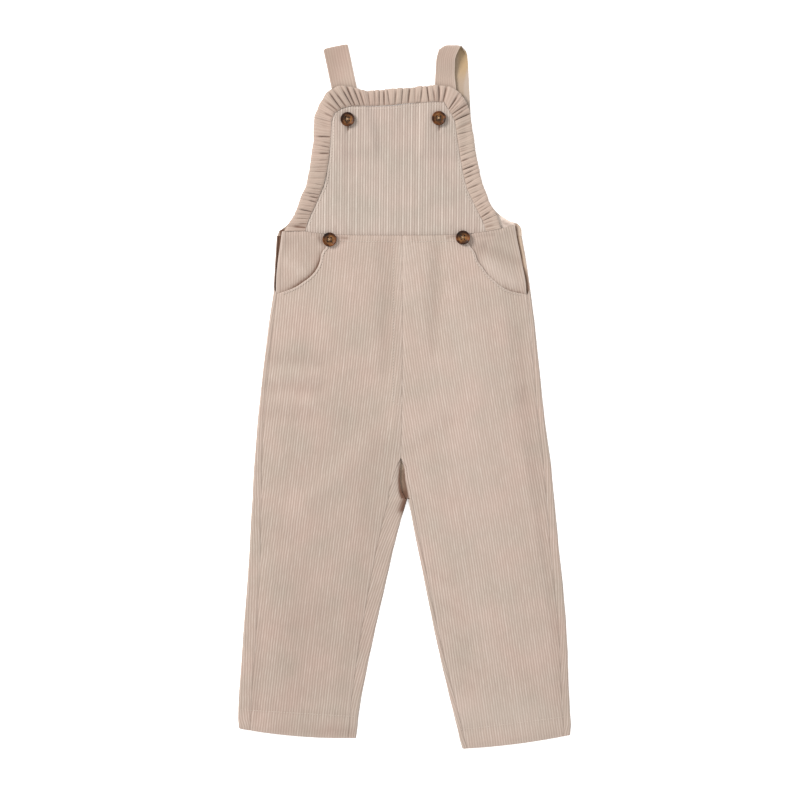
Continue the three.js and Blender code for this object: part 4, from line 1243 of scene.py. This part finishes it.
def ruffle():
    """One gathered strip: puff after puff, with a narrow tuck between two that fades outwards."""
    table = np.array(RUFFLE, float)
    numbers = np.arange(len(table))
    spans = []
    for k in numbers[:-1]:
        for g in range(int(table[k, 4])):
            spans.append(k + g / table[k, 4])
    spans.append(len(table) - 1.0)
    puffs = len(spans) - 1
    tuck = np.arange(puffs + 1)
    stations = np.array([np.interp(spans, numbers, table[:, c]) for c in range(6)]).T
    draw = np.random.default_rng(7)
    strength = 0.1 + 0.9 * draw.uniform(0.0, 1.0, puffs + 1) ** 1.8
    fade_at = draw.uniform(0.45, 0.85, puffs + 1)
    on_top = (tuck >= TOP_PUFFS[0]) & (tuck <= TOP_PUFFS[1])
    fade_at = np.where(on_top, fade_at + 0.3, fade_at)
    strength = np.where(on_top, np.minimum(1, strength + 0.28), strength)
    slant = draw.uniform(-0.35, 0.35, puffs + 1)
    down_right = soften((tuck - TOP_PUFFS[1]) / 6) * soften((puffs - tuck) / 6)
    slant = slant - 0.95 * down_right
    strength = strength + 0.2 * down_right + 0.25 * soften((14 - tuck) / 5)
    strength = np.minimum(1, strength + 0.3 * bump(tuck - TOP_PUFFS[0], 4))
    offset = draw.uniform(-0.22, 0.22, puffs + 1)
    size = draw.uniform(0.75, 1.2, puffs)
    middle = draw.uniform(0.0, 1.0, puffs) ** 2.5
    s = puff_places(puffs)
    k = np.minimum(s.astype(int), puffs - 1)
    along = s - k
    near = np.where(along < 0.5, k, k + 1)
    top = on_top[near]
    from_end = np.minimum(s, puffs - s)
    at_end = bump(from_end, 6)
    force = np.maximum(strength[near], 0.65 * at_end)
    hump = size[k] * (1 - 0.2 * (2 * along - 1) ** 2)
    gathered = WALE_PITCH * WALES_A_PUFF
    made = []
    for t in RUFFLE_SHARES:
        shift = np.interp(s, tuck, offset) + np.interp(s, tuck, slant) * t
        shift[0] = shift[-1] = 0
        at = np.clip(s + shift, 0, puffs)
        base = np.array([np.interp(at, tuck, stations[:, c]) for c in range(6)]).T
        seam = base[:, 0:2]
        line = base[:, 2:4] - seam
        length = np.hypot(line[:, 0], line[:, 1])
        line = line / length[:, None]
        spread = np.hypot(np.gradient(seam[:, 0]), np.gradient(seam[:, 1])) / np.gradient(s)
        from_tuck = np.abs(s - near) * spread
        from_middle = np.abs(along - 0.5) * spread
        fade = 1 - soften((t - fade_at[near] + 0.25) / 0.3) * np.where(top, 0.7, 0.85)
        short = (0.6 * middle[k] + 0.5 * at_end) * (1 - soften((t - 0.4) / 0.35))
        notch = force * np.exp(-from_tuck / 0.7) * fade
        notch = np.maximum(notch, 0.5 * short * np.exp(-from_middle / 0.6))
        rise = np.interp(t, [0, 0.1, 0.4, 0.8, 1], [0.15, 0.6, 1, 0.95, 0.65])
        height = PUFF_HEIGHT * base[:, 5] * hump * rise * (1 - 0.95 * notch)
        height = height * (0.2 + 0.8 * soften(from_end / 2.5))
        reach = length + (0.8 + 0.9 * top) * (hump * (1 - 0.6 * notch) - 0.9) * t
        reach = reach - 2.4 * t * bump(puffs - s, 5) + 0.6 * t * ripple(s, 0.7, 6.5) * (1 - top)
        place = seam + line * (SEAM_GAP + (reach - SEAM_GAP) * t)[:, None]
        above_waist = place[:, 1] - waist_y(place[:, 0]) - 0.12
        place[:, 1] -= above_waist * bump(from_end, 0.9)
        x, y = place.T
        from_edge = (1 - t) * RUFFLE_DEPTH
        z = bib_top(x, y) + 0.1 + height - 0.5 * bump(from_edge, 0.8)
        run = np.hypot(np.gradient(x), np.gradient(y)) + 1e-3
        tangent = np.stack([np.gradient(x), np.gradient(y)], 1) / run[:, None]
        slope = np.gradient(height) / run
        normal = np.column_stack([-0.4 * slope[:, None] * tangent, np.ones(len(s))])
        # Painted shade in each tuck and in the short pleats of a puff, over the left side and the top,
        # and along the seam.
        dark = (0.8 + 0.15 * top) * force * bump(from_tuck, 0.55) * fade
        dark = dark + 0.5 * short * bump(from_middle, 0.5)
        shade = 0.07 * soften((-20 - x) / 50) + 0.04 * top * (1 - 0.4 * t)
        dark = dark * np.interp(t, [0, 0.06, 1], [0.3, 1, 1]) + shade
        dark = np.clip(dark + 0.04 * bump(t * RUFFLE_DEPTH, 0.8), 0, 0.9)
        # Painted highlight on the outer edge, and painted light over the right side.
        wear_and_highlight = 0.2 * bump(from_edge, 1.0) + 0.15 * soften((x - 30) / 20)
        point = np.column_stack([place, z])
        made.append(cloth_row(s * gathered, t * RUFFLE_SHEET, point, normal, dark, wear_and_highlight))
    step = gathered / PUFF_STEPS
    return cloth("cloth_ruffle", [made], [SMOOTH_FACE, LINING], RUFFLE_WALL, 0.1, step)


# Left and right edge of the front of the right strap, which is turned and looks narrower.
TURNED_FRONT = [
    (258, 29.5, 54),
    (290, 29.5, 53),
    (308, 30.3, 51.6),
    (320, 31, 50.3),
    (335, 31.8, 50.6),
    (340, 32.4, 52),
    (345, 33.5, 54.5),
    (350, 35, 57),
]


def strap_edges(side, part, y):
    """Left and right edge of a strap at a height."""
    if side == "right" and part == "front":
        return by_height(TURNED_FRONT, 0, 1, y), by_height(TURNED_FRONT, 0, 2, y)
    middle = strap_x(STRAPS[side], part, y)
    return middle - STRAP_WIDTH / 2, middle + STRAP_WIDTH / 2


def strap_stations(side):
    """Sections of a strap, up its back, over the fold and down its front: edges, y, z, facing."""
    radius = STRAPS[side]["radius"]
    top_y = STRAPS[side]["top_y"]
    stations = []
    for y in np.linspace(STRAP_BACK_END_Y, top_y, 30)[:-1]:
        stations.append((*strap_edges(side, "back", y), y, 0.0, 0.0, -1.0))
    behind = strap_edges(side, "back", top_y)
    before = strap_edges(side, "front", top_y)
    for k in range(FOLD_STEPS + 1):
        angle = math.pi * k / FOLD_STEPS
        t = float(soften(k / FOLD_STEPS))
        forward, up = math.sin(angle), -math.cos(angle)
        ends = [mix(a, b, t) for a, b in zip(behind, before)]
        stations.append((*ends, top_y + radius * forward, radius * (1 + up), forward, up))
    for y in np.linspace(top_y, STRAP_FRONT_END_Y, 40)[1:]:
        z = mix(2 * radius, STRAP_FRONT_TOP, float(soften((top_y - y) / STRAP_SETTLE)))
        stations.append((*strap_edges(side, "front", y), y, z, 0.0, 1.0))
    return stations


def strap_hollow(x, y):
    """The tone of a strap's inside: painted light in a strip where the right one's loop lies open and
    beside the front's edge, and painted shade elsewhere.
    """
    start = np.maximum(59.5, 62.8 - 0.22 * (325.5 - y))
    strip = soften((x - start + 1.5) / 3) * soften((330 - y) / 6)
    low = soften((330 - y) / 22)
    beside = 0.5 * bump(x - 52, 3)
    shadow = 0.1 * low + 0.22 * bump(np.hypot(x - 60.5, y - 298), 4)
    pale = strip + (1 - strip) * np.maximum(0.7 * low, beside)
    return np.column_stack([(0.02 + shadow) * (1 - strip), pale])


def strap(side):
    """A strap: the left one lies flat, and the right one's loop is turned and open."""
    turned = side == "right"
    top_y = STRAPS[side]["top_y"]
    lean = 0.0 if turned else STRAPS[side]["front"][1]
    stations = strap_stations(side)
    t = np.linspace(0, 1, PLACES["strap"])
    aside = (t - 0.5) * STRAP_WIDTH
    rim = STRAP_WIDTH / 2 - np.abs(aside)
    made = []
    gone = 0
    for k, (left, right, y, z, forward, up) in enumerate(stations):
        x = mix(left, right, t)
        tilt = lean * aside * min(1, k / 9)
        if k:
            gone += math.dist((y, z), stations[k - 1][2:4])
        sunk = (0.5 * bump(rim, 0.9) + 0.2 * bump(rim - 3.2, 0.8)) * (1 - 0.9 * turned * (t > 0.5))
        near_top = soften((y - top_y + 26) / 26)
        if turned:
            turn = np.clip(1 - (1 - t) * STRAP_WIDTH / TURNED_CORNER, 0, 1)
            corner = 3.2 * bump(t, 0.16) + 7 * (1 - np.sqrt(1 - turn**2)) * soften(0.5 - 0.7 * up)
            z = z + 2.0 * near_top * t**2 * max(0.0, up)
        else:
            corner = 0.8 * bump(rim, 1.5)
        tilt = tilt - corner * near_top**3
        soft = 0.25 * ripple(y + 0.5 * aside, 0.6, 26) * (up > 0.5)
        point = np.stack([x, y + tilt - forward * sunk, z + soft - up * sunk], 1)
        normal = np.tile([0.0, forward, up], (len(aside), 1))
        # Painted highlight on the rims and on the right loop's turned edge; painted shadow of the
        # ruffle's edge, a faint painted shade all over, and painted shade towards the top.
        wear_and_highlight = 0.35 * bump(rim, 1.0) + 0.8 * turned * (up > 0) * bump(1 - t, 0.07)
        behind = np.maximum(distance_behind_ruffle(x, y), 0)
        dark = 0.03 + 0.14 * bump(behind, 3.5) * (up > 0.5)
        shade = soften((y - 300) / 45 + (0.0 if turned else -aside / 30))
        dark = dark + (0.16 if turned else 0.24) * shade
        made.append(cloth_row(aside + 40, gone, point, normal, dark, wear_and_highlight))
    materials = [SMOOTH_FACE, SHADED_STRAP_LINING]
    name = f"cloth_strap_{side}"
    return cloth(name, [made], materials, STRAP_WALL, 0.08, hollow=strap_hollow)


def distance_behind_ruffle(x, y):
    """How far above the ruffle's outer edge a place on a strap is."""
    edge = np.array(RUFFLE)[8:21]
    order = np.argsort(edge[:, 2])
    return y - np.interp(x, edge[order, 2], edge[order, 3])


# Stitches: one is modelled, and each line is made of its copies.
def one_stitch():
    bpy.ops.object.select_all(action="DESELECT")
    bpy.ops.mesh.primitive_uv_sphere_add(segments=6, ring_count=5, radius=1, rotation=(0, math.pi / 2, 0))
    model = bpy.context.object
    bpy.ops.object.transform_apply(rotation=True)
    corners = np.array([corner.co for corner in model.data.vertices])
    faces = [tuple(face.vertices) for face in model.data.polygons]
    bpy.data.objects.remove(model)
    return corners, faces


STITCH, STITCH_FACES = one_stitch()


def stitches(name, lines, material=THREAD, length=2.1, pitch=3.0, radius=0.32):
    """Lines of stitches along runs of places that carry their own height."""
    corners = []
    faces = []
    for line in lines:
        line = np.array(line, float)
        steps = np.linalg.norm(np.diff(line[:, :2], axis=0), axis=1)
        gone = np.concatenate([[0], np.cumsum(steps)])
        for start in np.arange(0.5, gone[-1] - length, pitch):
            a = between(np.array([start, start + length]), gone, line)
            along = a[1] - a[0]
            size = np.linalg.norm(along)
            along /= size
            aside = np.cross(UP, along)
            aside /= np.linalg.norm(aside)
            upwards = np.cross(along, aside)
            shape = STITCH * [size / 2, radius, radius]
            place = a.mean(0) + shape[:, :1] * along + shape[:, 1:2] * aside
            count = len(corners) * len(STITCH)
            corners.append(place + shape[:, 2:] * upwards)
            faces += [tuple(count + k for k in face) for face in STITCH_FACES]
    mesh = bpy.data.meshes.new(name)
    mesh.from_pydata(in_frame(np.concatenate(corners)).tolist(), [], faces)
    mesh.materials.append(material)
    piece = finished(name, mesh, 80)
    return piece


def on_front(side, places, lift=0.05):
    """Places on a leg's front, raised a little."""
    x, y = np.array(places, float).T
    return np.column_stack([x, y, draped(side, x, y) + lift])


def on_bib(places):
    """Places on the bib, with the thread half sunk."""
    x, y = np.array(places, float).T
    return np.column_stack([x, y, bib_top(x, y) + 0.5 * undulation(x, y) - 0.1])


def hem_line(side, above):
    """A line round the hem on the front of a leg."""
    row = np.array([by_height(LEGS[side], OUT_Y, c, LEGS[side][-1][OUT_Y] + above) for c in range(7)])
    width = section_width(row)
    x, y, _ = on_section(side, row, np.linspace(3, width - 3, 60))
    line = on_front(side, np.column_stack([x, y]))
    line[:, 2] -= hem_dip(side, row, x)
    return line


# The ends of the mock fly's line, and the bar across its foot.
FLY = [(-10.5, 152), (-11.136, -7)]
FLY_BAR = [(-10.8, -7.5), (-3, -9.5)]


def sew():
    """Every line of stitches that shows."""
    sets = {}
    for side, waist_ends in (("left", (-2.5, -66)), ("right", (2.5, 51))):
        edge = refined(POCKET_EDGE[side], 2.0)
        step = np.gradient(edge, axis=0)
        step /= np.linalg.norm(step, axis=1)[:, None]
        inward = np.column_stack([-step[:, 1], step[:, 0]]) * TURN[side]
        sets[f"stitches_pocket_{side}"] = [on_front(side, edge + inward * 1.9, 0.35)]
        sets[f"stitches_hem_{side}"] = [hem_line(side, HEM_DEPTH)]
        x = np.linspace(*waist_ends, 60)
        waist = on_front(side, np.column_stack([x, waist_y(x) - 6.5]))
        sets[f"stitches_waist_{side}"] = [waist]
    fly = on_front("left", np.linspace(*FLY, 60))
    bar = on_front("left", FLY_BAR)
    sets["stitches_fly"] = [fly, bar]
    rows = refined(BIB, 3.0, (1,))
    left = [(row[0] + 2.4, row[1]) for row in rows[2:-2]]
    right = [(row[2] - 2.4, row[3]) for row in rows[2:-2]]
    x = np.linspace(-50, 40, 40)
    top = np.column_stack([x, bib_line(x) - 2.6])
    sets["stitches_bib"] = [on_bib(line) for line in (left, right, top)]
    for name, lines in sets.items():
        stitches(name, lines)


def select_caps(made, way):
    """Selects the flat end of a new cylinder that faces up or down."""
    bpy.ops.mesh.select_all(action="DESELECT")
    bpy.ops.object.mode_set(mode="OBJECT")
    for face in made.data.polygons:
        face.select = face.normal.z * way > 0.9 and len(face.vertices) > 8
    bpy.ops.object.mode_set(mode="EDIT")


def turn_caps(made, way, profile):
    """Turns a flat end of a new cylinder, ring by ring: how far in and how far up."""
    select_caps(made, way)
    for inset, lift in profile:
        bpy.ops.mesh.inset(thickness=inset, depth=0)
        bpy.ops.transform.translate(value=(0, 0, lift))


def drill_holes(made):
    """Four holes through a button, cut one after another."""
    for right, up in ((1, 1), (1, -1), (-1, -1), (-1, 1)):
        place = (right * HOLE_OFF, up * HOLE_OFF, 0)
        bpy.ops.mesh.primitive_cylinder_add(vertices=20, radius=HOLE_RADIUS, depth=9, location=place)
        drill = bpy.context.object
        select_only(made)
        cut = made.modifiers.new("hole", "BOOLEAN")
        cut.operation = "DIFFERENCE"
        cut.object = drill
        cut.solver = "EXACT"
        bpy.ops.object.modifier_apply(modifier="hole")
        bpy.data.objects.remove(drill)


def button(name, x, y):
    """A turned four-hole button, sewn on with crossed thread."""
    low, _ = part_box(name)
    base = low.z * 1000
    bpy.ops.object.select_all(action="DESELECT")
    bpy.ops.mesh.primitive_cylinder_add(vertices=64, radius=BUTTON_RADIUS, depth=BUTTON_THICK)
    made = bpy.context.object
    bpy.ops.object.mode_set(mode="EDIT")
    bpy.ops.mesh.select_mode(type="FACE")
    turn_caps(made, 1, [(0.9, 0.0), (1.3, -0.9), (1.2, 0.12), (2.2, -0.1)])
    turn_caps(made, -1, [(1.2, 0.15)])
    bpy.ops.object.mode_set(mode="OBJECT")
    rounding = made.modifiers.new("round", "BEVEL")
    rounding.width = 0.45
    rounding.segments = 3
    rounding.limit_method = "ANGLE"
    rounding.angle_limit = math.radians(35)
    bpy.ops.object.modifier_apply(modifier="round")
    drill_holes(made)
    made.data.materials.clear()
    made.data.materials.append(SHELL)
    made.data.materials.append(SHELL_DISH)
    for face in made.data.polygons:
        in_dish = face.normal.z > 0.5 and math.hypot(*face.center[:2]) < DISH_RADIUS
        face.material_index = int(in_dish)
    places = np.array([corner.co for corner in made.data.vertices])
    places = in_frame(places + [x, y, base + BUTTON_THICK / 2])
    made.data.vertices.foreach_set("co", places.reshape(-1))
    made.name = f"shell_{name}"
    made.data.update()
    bpy.ops.object.shade_smooth_by_angle(angle=math.radians(35))
    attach(made, "root")
    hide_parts(name)
    dish = base + BUTTON_THICK - 0.75
    crossed = []
    for a, b in (((-1, -1), (1, 1)), ((-1, 1), (1, -1))):
        for aside in (-0.25, 0.25):
            start = (x + a[0] * HOLE_OFF + aside, y + a[1] * HOLE_OFF, dish)
            crossed.append([start, (x + b[0] * HOLE_OFF + aside, y + b[1] * HOLE_OFF, dish + 0.3)])
    stitches(f"thread_{name}", crossed, BUTTON_THREAD, length=3.4, pitch=9, radius=0.4)


def dress(piece, node):
    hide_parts(node)


for side in ("left", "right"):
    back = f"leg_back_{side}"
    dress(leg_front(side), f"leg_front_{side}")
    dress(leg_back(side), back)
    dress(hip(side), f"hip_{side}")
    dress(strap(side), f"strap_{side}")
dress(bib_front(), "bib_front")
dress(bib_back(), "bib_back")
dress(ruffle(), "ruffle")
sew()
for name, (x, y) in BUTTONS.items():
    button(name, x, y)


# Floor, light and camera
def floor():
    bpy.ops.object.select_all(action="DESELECT")
    bpy.ops.mesh.primitive_plane_add(size=6, location=(0, 0, -0.0002))
    made = bpy.context.object
    made.name = "floor"
    bpy.ops.object.transform_apply(location=True)
    paper = Finish("pale_paper", 0.9, Emission_Color=(1, 1, 1, 1), Emission_Strength=0.3)
    shade = paper.noise(paper.place(), 3.0, 1)
    white = paper.blend((0.93, 0.93, 0.93, 1), (0.95, 0.95, 0.95, 1), shade)
    made.data.materials.append(paper.show(white))


def lamp(name, place, size, power):
    light = bpy.data.lights.new(name, "AREA")
    light.size = size
    light.energy = power
    made = added(name, light)
    made.location = place
    made.rotation_euler = Vector([-value for value in place]).to_track_quat("-Z", "Y").to_euler()


# The camera looks straight down at this place, from this many metres.
AIM = np.array([-4.2, -4.5, 0])
EYE_HEIGHT = 2.4
SKY = 1.04

floor()
lamp("window_light", (-1.7, 1.3, 1.6), 0.9, 107)
lamp("fill_light", (1.5, -1.2, 2.2), 2.2, 29)
world = bpy.data.worlds.new("studio")
bpy.context.scene.world = world
world.use_nodes = True
sky = world.node_tree.nodes["Background"].inputs
sky["Color"].default_value = (1, 1, 1, 1)
sky["Strength"].default_value = SKY
bpy.context.scene.view_settings.view_transform = "Standard"

camera = bpy.data.cameras.new("camera")
camera.sensor_width = 36
camera.lens = 108
eye = added("camera", camera)
eye.location = (*in_frame(AIM)[:2], EYE_HEIGHT)
bpy.context.scene.camera = eye
